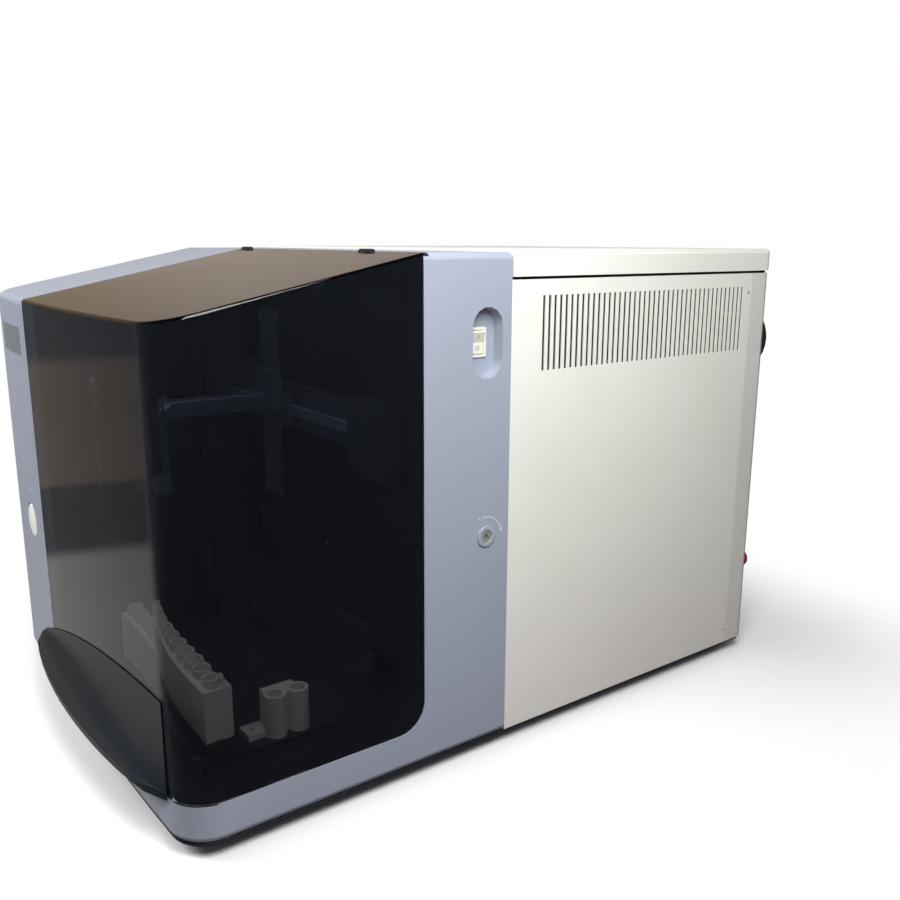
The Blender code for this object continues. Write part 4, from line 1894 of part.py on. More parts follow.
def loader_pieces(root):
    start = (RACK_LEFT, RACK_Y, DECK_Z)
    settle(tube_rack(), body("rack_slide", start, root), "cream_plastic", start)
    middle = (CARRIAGE_X, RAIL_FRONT, (BEAM_BOTTOM + BEAM_TOP) / 2)
    carrier = body("carriage_slide", middle, root)
    settle(carriage(), carrier, "aluminium", middle)
    lift_origin = (CARRIAGE_X, GUIDE_FRONT, SHAFT_Z)
    lift = body("lift_axis", lift_origin, carrier)
    settle(lift_slide(), lift, "aluminium", lift_origin)
    shaft = (CARRIAGE_X, SHAFT_Y, SHAFT_Z)
    head = body("gripper_shaft", shaft, lift)
    settle(gripper_head(), head, "plated_steel", shaft)
    for name, side in (("gripper_finger_left", -1), ("gripper_finger_right", 1)):
        jaw = (CARRIAGE_X + side * FINGER_OPENING / 2, SHAFT_Y, SHAFT_Z - HEAD_DROP - JAW_HEIGHT)
        settle(gripper_finger(name, side), body(name + "_slide", jaw, head), "black_plastic", jaw)
    needle = (probe_x(), PROBE_Y, PROBE_Z)
    probe = body("probe_axis", needle, root)
    settle(probe_slide(), probe, "black_plastic", needle)
    settle(probe_needle(), probe, "plated_steel", needle)


def rear_pieces(root):
    settle(fan_housing(), root, "black_plastic")
    settle(fan_guard(), root, "plated_steel")
    axis = (FAN_X, BODY_LENGTH, FAN_Z)
    settle(fan_rotor(), body("fan_axis", axis, root), "black_plastic", axis)
    settle(fluid_port_block(), root, "black_plastic")
    settle(port_cap(), root, "red_plastic")
    settle(power_inlet(), root, "black_plastic")
    settle(data_port_plate(), root, "plated_steel")


def cabinet_pieces(root):
    settle(power_supply(), root, "plated_steel")
    settle(vacuum_pump(), root, "dark_steel")
    settle(main_board(), root, "board_green")
    settle(optics_table(), root, "plated_steel")
    settle(optics_bench(), root, "aluminium")


def build():
    clear_scene()
    root = body("analyser", (0, 0, 0))
    housing_pieces(root)
    control_pieces(root)
    cover_pieces(root)
    bay_pieces(root)
    loader_pieces(root)
    rear_pieces(root)
    cabinet_pieces(root)
    places = [lip_place(i / LIP_STEPS) for i in range(LIP_STEPS + 1)]
    front = min(front_y(x) - depth for x, depth, rise in places) - SEAM - LIP_EDGE / 4
    rear = BODY_LENGTH + FAN_DEPTH + GAP + GUARD_WIRE * 5 / 2
    root.location.y = -(front + rear) / 2
    bpy.context.view_layer.update()


build()
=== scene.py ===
"""Looks of the haematology analyser: finishes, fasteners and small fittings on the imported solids."""

import json
import math

import bmesh
import bpy
from mathutils import Matrix, Vector
from mathutils.bvhtree import BVHTree


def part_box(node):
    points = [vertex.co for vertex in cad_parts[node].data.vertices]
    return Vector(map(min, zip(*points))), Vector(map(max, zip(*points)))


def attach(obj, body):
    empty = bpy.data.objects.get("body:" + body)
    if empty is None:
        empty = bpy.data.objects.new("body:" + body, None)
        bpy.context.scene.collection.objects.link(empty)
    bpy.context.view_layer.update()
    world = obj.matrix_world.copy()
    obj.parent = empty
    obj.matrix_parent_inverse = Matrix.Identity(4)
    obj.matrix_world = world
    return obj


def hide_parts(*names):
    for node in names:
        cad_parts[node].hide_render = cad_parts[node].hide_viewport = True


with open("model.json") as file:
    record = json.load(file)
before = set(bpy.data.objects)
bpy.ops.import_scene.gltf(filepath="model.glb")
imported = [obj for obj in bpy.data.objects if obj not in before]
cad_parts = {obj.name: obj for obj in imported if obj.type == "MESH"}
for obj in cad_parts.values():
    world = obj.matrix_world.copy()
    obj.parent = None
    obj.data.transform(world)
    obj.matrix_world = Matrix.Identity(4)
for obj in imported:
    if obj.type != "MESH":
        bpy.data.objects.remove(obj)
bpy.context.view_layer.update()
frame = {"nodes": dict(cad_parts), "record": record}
NODES = frame["nodes"]

# Where the front and the right side of the housing lie, and how far the front is bowed
FRONT = -0.404344
SIDE = 0.290
BOW = 0.008

# The loader bay in the front frame, and how far the frame's own colour reaches in behind its bowed face
BAY_LEFT, BAY_RIGHT = -0.1136, 0.2892
BAY_FLOOR = 0.0560
BAY_REAR = -0.1350
FRAME_FACE = 0.0015

# The cover's pull lip stands out from the bowed front, below a height
LIP_STEP = 0.0006
LIP_TOP = 0.160

# Sharp edges turn by more than this; most of them are rounded by EDGE
SHARP = math.radians(32)
EDGE = 0.00035


def bow(x):
    """How far the bowed front face lies behind its foremost line; x may be a shader value."""
    return x * x * (BOW / (SIDE * SIDE))


# Shader maths


class Value:
    """A number that varies over a surface; arithmetic on it adds Math nodes."""

    def __init__(self, graph, socket):
        self.graph = graph
        self.socket = socket

    def maths(self, operation, *others, first=None):
        operands = [self if first is None else first, *others]
        return self.graph.add("ShaderNodeMath", {"operation": operation}, dict(enumerate(operands)))

    def __add__(self, other):
        return self.maths("ADD", other)

    def __radd__(self, other):
        return self.maths("ADD", other)

    def __sub__(self, other):
        return self.maths("SUBTRACT", other)

    def __rsub__(self, other):
        return self.maths("SUBTRACT", self, first=other)

    def __mul__(self, other):
        return self.maths("MULTIPLY", other)

    def __pow__(self, other):
        return self.maths("POWER", other)

    def __abs__(self):
        return self.maths("ABSOLUTE")

    def __lt__(self, other):
        return self.maths("LESS_THAN", other)

    def __gt__(self, other):
        return self.maths("GREATER_THAN", other)

    def above(self, low):
        """The number itself, but never less than low."""
        return self.maths("MAXIMUM", low)

    def smooth(self, low, high):
        """0 below low, 1 above high and a soft step between."""
        settings = {"interpolation_type": "SMOOTHSTEP"}
        limits = {"Value": self, "From Min": low, "From Max": high}
        return self.graph.add("ShaderNodeMapRange", settings, limits)


class Graph:
    """The node tree of one material."""

    def __init__(self, name):
        self.material = bpy.data.materials.new(name)
        self.material.use_nodes = True
        self.tree = self.material.node_tree
        self.shader = self.tree.nodes["Principled BSDF"]
        self.output = self.tree.nodes["Material Output"]

    def link(self, source, target):
        if isinstance(source, Value):
            self.tree.links.new(source.socket, target)
        else:
            target.default_value = source

    def add(self, kind, settings=None, inputs=None, output=0):
        """Adds a node: its settings first, then the values or links of its sockets."""
        node = self.tree.nodes.new(kind)
        for name, value in (settings or {}).items():
            setattr(node, name, value)
        for key, source in (inputs or {}).items():
            self.link(source, node.inputs[key])
        return Value(self, node.outputs[output])

    def place(self):
        return self.add("ShaderNodeTexCoord", output="Object")

    def axes(self, vector):
        return [self.add("ShaderNodeSeparateXYZ", None, {0: vector}, output=i) for i in range(3)]

    def noise(self, scale, detail=2.0, roughness=0.5, stretch=None):
        vector = self.place()
        if stretch is not None:
            settings = {"operation": "MULTIPLY"}
            vector = self.add("ShaderNodeVectorMath", settings, {0: vector, 1: stretch})
        sizes = {"Vector": vector, "Scale": scale, "Detail": detail, "Roughness": roughness}
        return self.add("ShaderNodeTexNoise", None, sizes)

    def mix(self, factor, first, second):
        """Mixes two colours."""
        settings = {"data_type": "RGBA"}
        sides = {0: factor, 6: first, 7: second}
        return self.add("ShaderNodeMix", settings, sides, output=2)

    def bump(self, height, strength, distance):
        sides = {"Strength": strength, "Distance": distance, "Height": height}
        return self.add("ShaderNodeBump", None, sides)

    def set(self, **sockets):
        """Sets or links sockets of the Principled shader."""
        for name, source in sockets.items():
            self.link(source, self.shader.inputs[name.replace("_", " ")])
        return self.material


def rgb(red, green, blue):
    """A colour from the 0 to 255 numbers of a picture."""

    def linear(value):
        value = value / 255
        return value / 12.92 if value <= 0.04045 else ((value + 0.055) / 1.055) ** 2.4

    return (linear(red), linear(green), linear(blue), 1)


def textured_paint(name, colour, worn, grain_size, grain_depth, roughness):
    """Sprayed or moulded surface with a fine grain, faint clouding and hand marks."""
    g = Graph(name)
    clouds = g.noise(7, 4, 0.6)
    specks = g.noise(900, 1, 0.5)
    tone = (clouds - 0.5) * 0.55 + (specks - 0.5) * 0.22 + 0.5
    grain = g.noise(1 / grain_size, 2, 0.6)
    marks = g.noise(38, 5, 0.7).smooth(0.52, 0.72)
    base = g.mix(tone.smooth(0.0, 1.0), worn, colour)
    shine = roughness + (grain - 0.5) * 0.10 + marks * 0.06
    return g.set(Base_Color=base, Roughness=shine, Normal=g.bump(grain, 0.35, grain_depth))


def frame_paint():
    """Blue-grey moulding, black where the loader bay is hollowed out of it."""
    g = Graph("frame_paint")
    x, y, z = g.axes(g.place())
    clouds = g.noise(7, 4, 0.6)
    grain = g.noise(1300, 2, 0.6)
    marks = g.noise(38, 5, 0.7).smooth(0.56, 0.74)
    tone = (clouds - 0.5) * 0.5 + (grain - 0.5) * 0.25 + 0.5
    base = g.mix(tone.smooth(0.0, 1.0), rgb(146, 153, 167), rgb(159, 166, 181))
    inside = (x < BAY_RIGHT) * (x > BAY_LEFT) * (z > BAY_FLOOR) * (y < BAY_REAR)
    inside = inside * (y - bow(x) > FRONT + FRAME_FACE)
    base = g.mix(inside, base, rgb(30, 31, 34))
    shine = 0.40 + (grain - 0.5) * 0.08 + marks * 0.05
    return g.set(Base_Color=base, Roughness=shine, Normal=g.bump(grain, 0.30, 0.00010))


def cream_paint(name, dark, light):
    """Cream powder coat with painted shade that darkens and warms it towards its foot, and scuffs there."""
    g = Graph(name)
    clouds = g.noise(5, 4, 0.6)
    peel = g.noise(950, 2, 0.5)
    height = g.axes(g.place())[2]
    low = 1 - height.smooth(0.0, 0.30)
    scuffs = g.noise(60, 6, 0.75, (1, 1, 0.35)).smooth(0.60, 0.74) * low
    base = g.mix(clouds.smooth(0.25, 0.75), dark, light)
    # Painted shade: the base turns darker and warmer towards the foot, where the lamps' light falls off; the
    # scuffs are wear
    base = g.mix(low * 0.40 + scuffs * 0.25, base, rgb(222, 211, 207))
    shine = 0.34 + (peel - 0.5) * 0.12 + scuffs * 0.12
    return g.set(Base_Color=base, Roughness=shine, Normal=g.bump(peel, 0.22, 0.00006))


def smoke_acrylic():
    """Clear smoke-tinted sheet with hairline scratches and some dust; its pull lip is of solid colour."""
    g = Graph("smoke_acrylic")
    dust = g.noise(420, 3, 0.6).smooth(0.66, 0.80)
    film = g.noise(14, 4, 0.65).smooth(0.45, 0.80)
    scratches = g.noise(70, 3, 0.55, (0.25, 1, 7)).smooth(0.700, 0.730)
    shine = 0.012 + film * 0.020 + dust * 0.05 + scratches * 0.06
    g.set(Roughness=shine, IOR=1.38, Base_Color=(0.125, 0.140, 0.172, 1))
    g.set(Transmission_Weight=1.0, Normal=g.bump(g.noise(5, 1, 0.5), 0.08, 0.0012))
    lamp_ray = g.add("ShaderNodeLightPath", output="Is Shadow Ray")
    passing = g.add("ShaderNodeBsdfTransparent", None, {"Color": (0.60, 0.61, 0.64, 1)})
    sheet = g.add("ShaderNodeMixShader", None, {0: lamp_ray, 1: Value(g, g.shader.outputs[0]), 2: passing})
    x, y, z = g.axes(g.place())
    lip = (y - bow(x) < FRONT - LIP_STEP) * (z < LIP_TOP)
    solid = g.tree.nodes.new("ShaderNodeBsdfPrincipled")
    tone = g.mix(g.noise(9, 3, 0.6), rgb(27, 33, 39), rgb(36, 42, 49))
    for label, source in (("Base Color", tone), ("Roughness", shine + 0.30), ("IOR", 1.36)):
        g.link(source, solid.inputs[label])
    both = g.add("ShaderNodeMixShader", None, {0: lip, 1: sheet, 2: Value(g, solid.outputs[0])})
    g.link(both, g.output.inputs[0])
    return g.material


def ivory_moulding(name, foot):
    """Ivory plastic, black below a height."""
    g = Graph(name)
    height = g.axes(g.place())[2]
    clouds = g.noise(24, 4, 0.6)
    base = g.mix(clouds.smooth(0.2, 0.8), rgb(226, 214, 176), rgb(240, 232, 204))
    base = g.mix(height < foot, base, rgb(30, 30, 30))
    grain = g.noise(1400, 2, 0.5)
    return g.set(Base_Color=base, Roughness=0.40 + clouds * 0.08, Normal=g.bump(grain, 0.2, 0.00005))


def hard_anodised():
    """Dark anodised aluminium of the moving gear."""
    g = Graph("hard_anodised")
    lines = g.noise(120, 3, 0.6, (1, 30, 30))
    wear = g.noise(40, 5, 0.7).smooth(0.60, 0.72)
    base = g.mix(wear * 0.6, rgb(112, 115, 121), rgb(158, 160, 164))
    shine = 0.28 + lines * 0.2
    return g.set(Base_Color=base, Metallic=0.8, Roughness=shine, Normal=g.bump(lines, 0.1, 0.00003))


def filter_mat():
    """Open-celled dust filter."""
    g = Graph("filter_mat")
    cells = g.add("ShaderNodeTexVoronoi", None, {"Vector": g.place(), "Scale": 900.0})
    base = g.mix(cells.smooth(0.1, 0.7), rgb(14, 17, 16), rgb(36, 41, 39))
    return g.set(Base_Color=base, Roughness=0.95, Normal=g.bump(cells, 0.6, 0.0004))


def lock_metal():
    """Turned metal of the lock's core."""
    g = Graph("lock_metal")
    turning = g.noise(300, 3, 0.6, (6, 1, 1))
    base = g.mix(turning, rgb(150, 150, 146), rgb(196, 196, 190))
    return g.set(Base_Color=base, Metallic=0.5, Roughness=0.34 + turning * 0.16)


def zinc_sheet():
    """Zinc-plated steel sheet with its spangle and rolling lines."""
    g = Graph("zinc_sheet")
    spangle = g.add("ShaderNodeTexVoronoi", None, {"Vector": g.place(), "Scale": 260.0})
    rolled = g.noise(60, 3, 0.6, (1, 14, 14))
    base = g.mix(spangle.smooth(0.0, 1.0), rgb(178, 181, 184), rgb(200, 203, 205))
    shine = 0.30 + rolled * 0.16 + spangle * 0.06
    return g.set(Base_Color=base, Metallic=1.0, Roughness=shine, Normal=g.bump(rolled, 0.12, 0.00003))


def anodised():
    """Brushed clear-anodised aluminium."""
    g = Graph("anodised")
    lines = g.noise(90, 3, 0.6, (1, 30, 30))
    stain = g.noise(12, 3, 0.6)
    base = g.mix(stain.smooth(0.3, 0.7), rgb(176, 178, 182), rgb(190, 192, 196))
    shine = 0.28 + lines * 0.18
    return g.set(Base_Color=base, Metallic=1.0, Roughness=shine, Normal=g.bump(lines, 0.10, 0.00003))


# Plain finishes: the colour, its worn tone, the grain's size and depth, and the roughness
PAINTS = {
    "cream_moulding": (rgb(226, 228, 214), rgb(206, 207, 190), 0.0006, 0.00006, 0.42),
    "black_moulding": (rgb(38, 39, 41), rgb(26, 27, 29), 0.0006, 0.00008, 0.50),
    "dark_paint": (rgb(48, 50, 54), rgb(36, 38, 42), 0.0008, 0.00008, 0.50),
    "rubber": (rgb(26, 26, 26), rgb(14, 14, 14), 0.0009, 0.00012, 0.85),
    "red_moulding": (rgb(168, 26, 30), rgb(140, 18, 24), 0.0007, 0.00004, 0.34),
    "board_mask": (rgb(28, 104, 62), rgb(20, 84, 50), 0.0012, 0.00004, 0.40),
    "lamp_lens": (rgb(196, 210, 214), rgb(160, 182, 178), 0.0008, 0.00004, 0.22),
    "clear_hose": (rgb(206, 204, 190), rgb(184, 182, 166), 0.0010, 0.00003, 0.28),
    "moulded_mark": (rgb(206, 212, 226), rgb(184, 190, 205), 0.0006, 0.00003, 0.40),
    "grey_print": (rgb(116, 118, 120), rgb(96, 98, 100), 0.0006, 0.00002, 0.55),
    "bare_plate": (rgb(128, 136, 138), rgb(108, 116, 118), 0.0005, 0.00003, 0.45),
    # the bay's liners: the dark paint made darker still, as painted shade for the dim bay
    "bay_painted_shade": (rgb(32, 33, 35), rgb(22, 23, 25), 0.0008, 0.00008, 0.52),
    "touch_white": (rgb(240, 242, 238), rgb(228, 230, 224), 0.0006, 0.00005, 0.38),
}


def painted(name):
    return textured_paint(name, *PAINTS[name])


FINISHES = {
    "frame_plastic": frame_paint(),
    "cream_steel": cream_paint("cream_paint", rgb(225, 225, 216), rgb(231, 232, 225)),
    "tinted_cover": smoke_acrylic(),
    "cream_plastic": painted("cream_moulding"),
    "black_plastic": painted("black_moulding"),
    "dark_steel": painted("dark_paint"),
    "rubber": painted("rubber"),
    "plated_steel": zinc_sheet(),
    "aluminium": anodised(),
    "lamp": painted("lamp_lens"),
    "red_plastic": painted("red_moulding"),
    "board_green": painted("board_mask"),
}
PRINT = painted("grey_print")
PLATE = painted("bare_plate")
MARK = painted("moulded_mark")
HOSE = painted("clear_hose")
FILTER = filter_mat()
GEAR = hard_anodised()
LOCK = lock_metal()
# Painted shade: the loader bay's liners get a darker copy of the dark paint, standing for the dim light
# inside the bay
BAY_SHADE = painted("bay_painted_shade")
RACK_FOOT = 0.0870  # the rack is black below this height

# Nodes whose look is not that of their material slot
OWN_FINISH = {
    # Painted shade: the rear panel takes a darker copy of the side panels' cream paint
    "rear_panel": cream_paint("rear_cream_painted_shade", rgb(210, 210, 202), rgb(218, 219, 211)),
    "bay_side_liner": BAY_SHADE,
    "bay_back_plate": BAY_SHADE,
    "bay_floor_pan": BAY_SHADE,
    "touch_button": painted("touch_white"),
    "x_beam": GEAR,
    "carriage": GEAR,
    "lift_slide": GEAR,
    "gripper_head": GEAR,
    "tube_rack": ivory_moulding("rack_ivory", RACK_FOOT),
    "tube_adapter": ivory_moulding("adapter_ivory", 0.0),
    "lock_core": LOCK,
    "lock_barrel": FINISHES["frame_plastic"],
}
SLOTS = {part["node"]: part["material_slot"] for part in frame["record"]["subparts"]}
BODIES = {node: body for body, nodes in frame["record"]["behaviour"]["bodies"].items() for node in nodes}


# Mesh helpers


def piece(name, mesh, material, body):
    """Links a finished mesh as a piece that rides on a body."""
    obj = bpy.data.objects.new(name, mesh)
    bpy.context.scene.collection.objects.link(obj)
    mesh.name = name
    mesh.materials.clear()
    mesh.materials.append(material)
    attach(obj, body)
    return obj


def applied(obj):
    """The mesh that the object's modifiers give; the object is removed."""
    graph = bpy.context.evaluated_depsgraph_get()
    mesh = bpy.data.meshes.new_from_object(obj.evaluated_get(graph), depsgraph=graph)
    bpy.data.objects.remove(obj)
    return mesh


def smoothed(mesh, edge):
    """Rounds a mesh's sharp edges by a small radius and shades what is round as round."""
    bm = bmesh.new()
    bm.from_mesh(mesh)
    bmesh.ops.remove_doubles(bm, verts=bm.verts, dist=0.000004)
    bmesh.ops.dissolve_limit(bm, angle_limit=0.003, verts=bm.verts, edges=bm.edges)
    bm.to_mesh(mesh)
    bm.free()
    mesh.shade_smooth()
    mesh.set_sharp_from_angle(angle=SHARP)
    obj = bpy.data.objects.new("work", mesh)
    bpy.context.scene.collection.objects.link(obj)
    if edge:
        bevel = obj.modifiers.new("bevel", "BEVEL")
        bevel.width = edge
        bevel.segments = 2
        bevel.limit_method = "ANGLE"
        bevel.angle_limit = SHARP
        bevel.use_clamp_overlap = True
        bevel.harden_normals = False
    weighted = obj.modifiers.new("weighted", "WEIGHTED_NORMAL")
    weighted.keep_sharp = True
    return applied(obj)


# Roundings of the edges that are not EDGE
EDGES = {
    "cover_shell": 0.0005,
    "front_frame": 0.0005,
    "lid": 0.0004,
    "rear_panel": 0.0011,
    "right_side_panel": 0.0003,
    "left_side_panel": 0.0003,
    "tube_rack": 0.0004,
    "tube_adapter": 0.0005,
    "fan_guard": 0,
    "probe_needle": 0,
}


def dress_all():
    """Replaces every CAD node by a copy with rounded edges and smooth curves."""
    for node in sorted(NODES):
        copy = smoothed(NODES[node].data.copy(), EDGES.get(node, EDGE))
        slot = SLOTS[node]
        skin = piece(node + "_skin", copy, OWN_FINISH.get(node, FINISHES[slot]), BODIES[node])
        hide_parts(node)


# Fasteners, laid out by Geometry Nodes


def node_tree(name, inputs):
    """An empty Geometry Nodes tree with named inputs."""
    tree = bpy.data.node_groups.new(name, "GeometryNodeTree")
    tree.interface.new_socket("Geometry", in_out="INPUT", socket_type="NodeSocketGeometry")
    for label, kind, value in inputs:
        socket = tree.interface.new_socket(label, in_out="INPUT", socket_type=kind)
        if value is not None:
            socket.default_value = value
    tree.interface.new_socket("Geometry", in_out="OUTPUT", socket_type="NodeSocketGeometry")
    return tree


def add(tree, kind, settings=None, inputs=None):
    """Adds one node to a tree: its settings first, then the values or links of its sockets."""
    node = tree.nodes.new(kind)
    for name, value in (settings or {}).items():
        setattr(node, name, value)
    for key, source in (inputs or {}).items():
        if isinstance(source, bpy.types.NodeSocket):
            tree.links.new(source, node.inputs[key])
        else:
            node.inputs[key].default_value = source
    return node


def screw_tree():
    """Domed heads with a cross recess, one on each point and turned to its normal."""
    labels = [("Head Radius", "NodeSocketFloat", 0.003), ("Head Height", "NodeSocketFloat", 0.0016)]
    labels += [("Seed", "NodeSocketInt", 3), ("Material", "NodeSocketMaterial", None)]
    tree = node_tree("screw_heads", labels)
    start = tree.nodes.new("NodeGroupInput")
    radius, height = start.outputs["Head Radius"], start.outputs["Head Height"]

    def scaled(socket, factor):
        return add(tree, "ShaderNodeMath", {"operation": "MULTIPLY"}, {0: socket, 1: factor}).outputs[0]

    def vector(x, y, z):
        return add(tree, "ShaderNodeCombineXYZ", None, {0: x, 1: y, 2: z}).outputs[0]

    def moved(node, **changes):
        return add(tree, "GeometryNodeTransform", None, {"Geometry": node.outputs[0], **changes})

    ball = add(tree, "GeometryNodeMeshUVSphere", None, {"Segments": 24, "Rings": 12, "Radius": 1.0})
    dome = moved(ball, Scale=vector(radius, radius, height))
    wide = scaled(radius, 4)
    block = add(tree, "GeometryNodeMeshCube", None, {"Size": vector(wide, wide, scaled(height, 2))})
    under = moved(block, Translation=vector(0, 0, scaled(height, -1.02)))
    arm_size = vector(scaled(radius, 1.15), scaled(radius, 0.24), scaled(height, 1.1))
    arm = add(tree, "GeometryNodeMeshCube", None, {"Size": arm_size})
    lifted = moved(arm, Translation=vector(0, 0, scaled(height, 0.95)))
    turned = moved(lifted, Rotation=(0, 0, math.pi / 2))
    settings = {"operation": "DIFFERENCE", "solver": "EXACT"}
    head = add(tree, "GeometryNodeMeshBoolean", settings, {"Mesh 1": dome.outputs[0]})
    for cutter in (under, lifted, turned):
        tree.links.new(cutter.outputs[0], head.inputs["Mesh 2"])
    settings = {"data_type": "FLOAT_VECTOR"}
    facing = add(tree, "GeometryNodeInputNamedAttribute", settings, {"Name": "facing"})
    upright = add(tree, "FunctionNodeAlignRotationToVector", {"axis": "Z"}, {"Vector": facing.outputs[0]})
    limits = {2: 0.0, 3: 3.1, "Seed": start.outputs["Seed"]}
    turn = add(tree, "FunctionNodeRandomValue", {"data_type": "FLOAT"}, limits)
    spin = add(tree, "FunctionNodeAxisAngleToRotation", None, {"Axis": (0, 0, 1), "Angle": turn.outputs[1]})
    sides = {0: upright.outputs[0], 1: spin.outputs[0]}
    spun = add(tree, "FunctionNodeRotateRotation", {"rotation_space": "LOCAL"}, sides)
    points = add(tree, "GeometryNodeMeshToPoints", None, {"Mesh": start.outputs["Geometry"]})
    sides = {"Points": points.outputs[0], "Instance": head.outputs["Mesh"], "Rotation": spun.outputs[0]}
    copies = add(tree, "GeometryNodeInstanceOnPoints", None, sides)
    real = add(tree, "GeometryNodeRealizeInstances", None, {"Geometry": copies.outputs[0]})
    sides = {"Geometry": real.outputs[0], "Material": start.outputs["Material"]}
    coloured = add(tree, "GeometryNodeSetMaterial", None, sides)
    end = tree.nodes.new("NodeGroupOutput")
    tree.links.new(coloured.outputs[0], end.inputs[0])
    return tree


def screws(name, body, places, radius=0.003, height=0.0015, finish="plated_steel", seed=3):
    """Screw heads at (point, direction) places, all on one body."""
    mesh = bpy.data.meshes.new(name)
    mesh.from_pydata([point for point, direction in places], [], [])
    facing = mesh.attributes.new("facing", "FLOAT_VECTOR", "POINT")
    for item, (point, direction) in zip(facing.data, places):
        item.vector = direction
    obj = bpy.data.objects.new("guide", mesh)
    bpy.context.scene.collection.objects.link(obj)
    modifier = obj.modifiers.new("screws", "NODES")
    modifier.node_group = SCREW_TREE
    items = SCREW_TREE.interface.items_tree
    sockets = {item.name: item.identifier for item in items if item.in_out == "INPUT"}
    values = {"Head Radius": radius, "Head Height": height, "Seed": seed, "Material": FINISHES[finish]}
    for label, value in values.items():
        modifier[sockets[label]] = value
    piece(name, applied(obj), FINISHES[finish], body)


SCREW_TREE = screw_tree()


# Flat shapes set on a face

ACROSS, UP = (0, 1, 0), (0, 0, 1)  # the drawing plane of the right side

def flat_piece(name, outlines, origin, across, up, thickness, material, body, lift=0.0):
    """Prisms over closed outlines drawn in the plane of a face, standing on it by their thickness."""
    origin, across, up = Vector(origin), Vector(across).normalized(), Vector(up).normalized()
    out = across.cross(up)
    bm = bmesh.new()
    for outline in outlines:
        rings = []
        for depth in (lift, lift + thickness):
            rings.append([bm.verts.new(origin + across * x + up * y + out * depth) for x, y in outline])
        low, high = rings
        bm.faces.new(list(reversed(low)))
        bm.faces.new(high)
        for i in range(len(outline)):
            j = (i + 1) % len(outline)
            bm.faces.new((low[i], low[j], high[j], high[i]))
    bmesh.ops.recalc_face_normals(bm, faces=bm.faces)
    mesh = bpy.data.meshes.new(name)
    bm.to_mesh(mesh)
    bm.free()
    piece(name, mesh, material, body)


def circle(radius, steps=24, centre=(0, 0)):
    angles = [2 * math.pi * i / steps for i in range(steps)]
    return [(centre[0] + radius * math.cos(a), centre[1] + radius * math.sin(a)) for a in angles]


def band(radius, width, start, end, steps=20):
    """A bent strip round the origin from one angle to another, in degrees."""
    angles = [math.radians(start + (end - start) * i / steps) for i in range(steps + 1)]
    far, near = radius + width / 2, radius - width / 2
    outer = [(far * math.cos(a), far * math.sin(a)) for a in angles]
    inner = [(near * math.cos(a), near * math.sin(a)) for a in reversed(angles)]
    return outer + inner


def bar(width, height, centre=(0, 0)):
    x, y = centre
    half, rise = width / 2, height / 2
    return [(x - half, y - rise), (x + half, y - rise), (x + half, y + rise), (x - half, y + rise)]


# Small fittings


def name_plate():
    """A bare plate in the recess of the left column, bent along the bow."""
    left, width, foot, top = -0.2456, 0.1012, 0.4150, 0.4474
    back, face = 0.0006, 0.0002
    steps, rings = 12, []
    for depth in (back, face):
        for z in (foot, top):
            xs = [left + width * i / steps for i in range(steps + 1)]
            rings.append([(x, FRONT + bow(x) + depth, z) for x in xs])
    count = steps + 1
    faces = []
    for first, second in ((0, 1), (1, 3), (3, 2), (2, 0)):
        for i in range(steps):
            a, b = first * count + i, second * count + i
            faces.append((a, a + 1, b + 1, b))
    faces += [(0, count, 3 * count, 2 * count), (steps, 2 * count + steps, 3 * count + steps, count + steps)]
    mesh = bpy.data.meshes.new("name_plate")
    mesh.from_pydata([point for ring in rings for point in ring], [], faces)
    bm = bmesh.new()
    bm.from_mesh(mesh)
    bmesh.ops.recalc_face_normals(bm, faces=bm.faces)
    bm.to_mesh(mesh)
    bm.free()
    piece("name_plate", mesh, PLATE, "analyser")


def lock_arrow():
    """The faint moulded arc with its arrow head, and the dot, above the lock."""
    low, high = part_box("lock_barrel")
    centre = (low + high) / 2
    origin = (SIDE, centre.y, centre.z)
    arc = band(0.0205, 0.0011, 14, 104)
    head = [(0.0180, 0.0052), (0.0228, 0.0052), (0.0208, 0.0010)]
    dot = circle(0.0010, 12, (-0.0090, 0.0200))
    outlines = [arc, head, dot]
    flat_piece("lock_arrow", outlines, origin, ACROSS, UP, 0.0002, MARK, "analyser")


def surface(node, start, direction):
    """The point and the outward direction where a ray meets a node at rest."""
    obj = NODES[node]
    points = [obj.matrix_world @ vertex.co for vertex in obj.data.vertices]
    tree = BVHTree.FromPolygons(points, [tuple(face.vertices) for face in obj.data.polygons])
    return tree.ray_cast(Vector(start), Vector(direction))[:2]


def rocker_marks():
    """The I and the O of the power switch, printed on the two halves of its rocker."""
    low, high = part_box("power_rocker")
    middle = (low.y + high.y) / 2
    stroke = [bar(0.0007, 0.0040)]
    ring = [band(0.0018, 0.0006, start, start + 180, 14) for start in (0, 180)]
    above, thickness = 0.00003, 0.00008
    for name, outlines, share in (("rocker_on", stroke, 0.75), ("rocker_off", ring, 0.25)):
        start = (high.x + 0.05, middle, low.z + (high.z - low.z) * share)
        place, out = surface("power_rocker", start, (-1, 0, 0))
        up = out.cross(Vector(ACROSS))
        flat_piece(name, outlines, place, ACROSS, up, thickness, PRINT, "rocker", above)


def vent_filters():
    """Dark filter mats behind the slots of both side panels."""
    wall, width, height, centre_y, centre_z = 0.2850, 0.346, 0.090, 0.170, 0.452
    for side, node in ((1, "right_side_panel"), (-1, "left_side_panel")):
        outline = [(side * y, z) for y, z in bar(width, height, (centre_y, centre_z))]
        origin, across = (side * wall, 0, 0), (0, side, 0)
        flat_piece(node + "_filter", [outline], origin, across, UP, 0.0016, FILTER, "analyser")


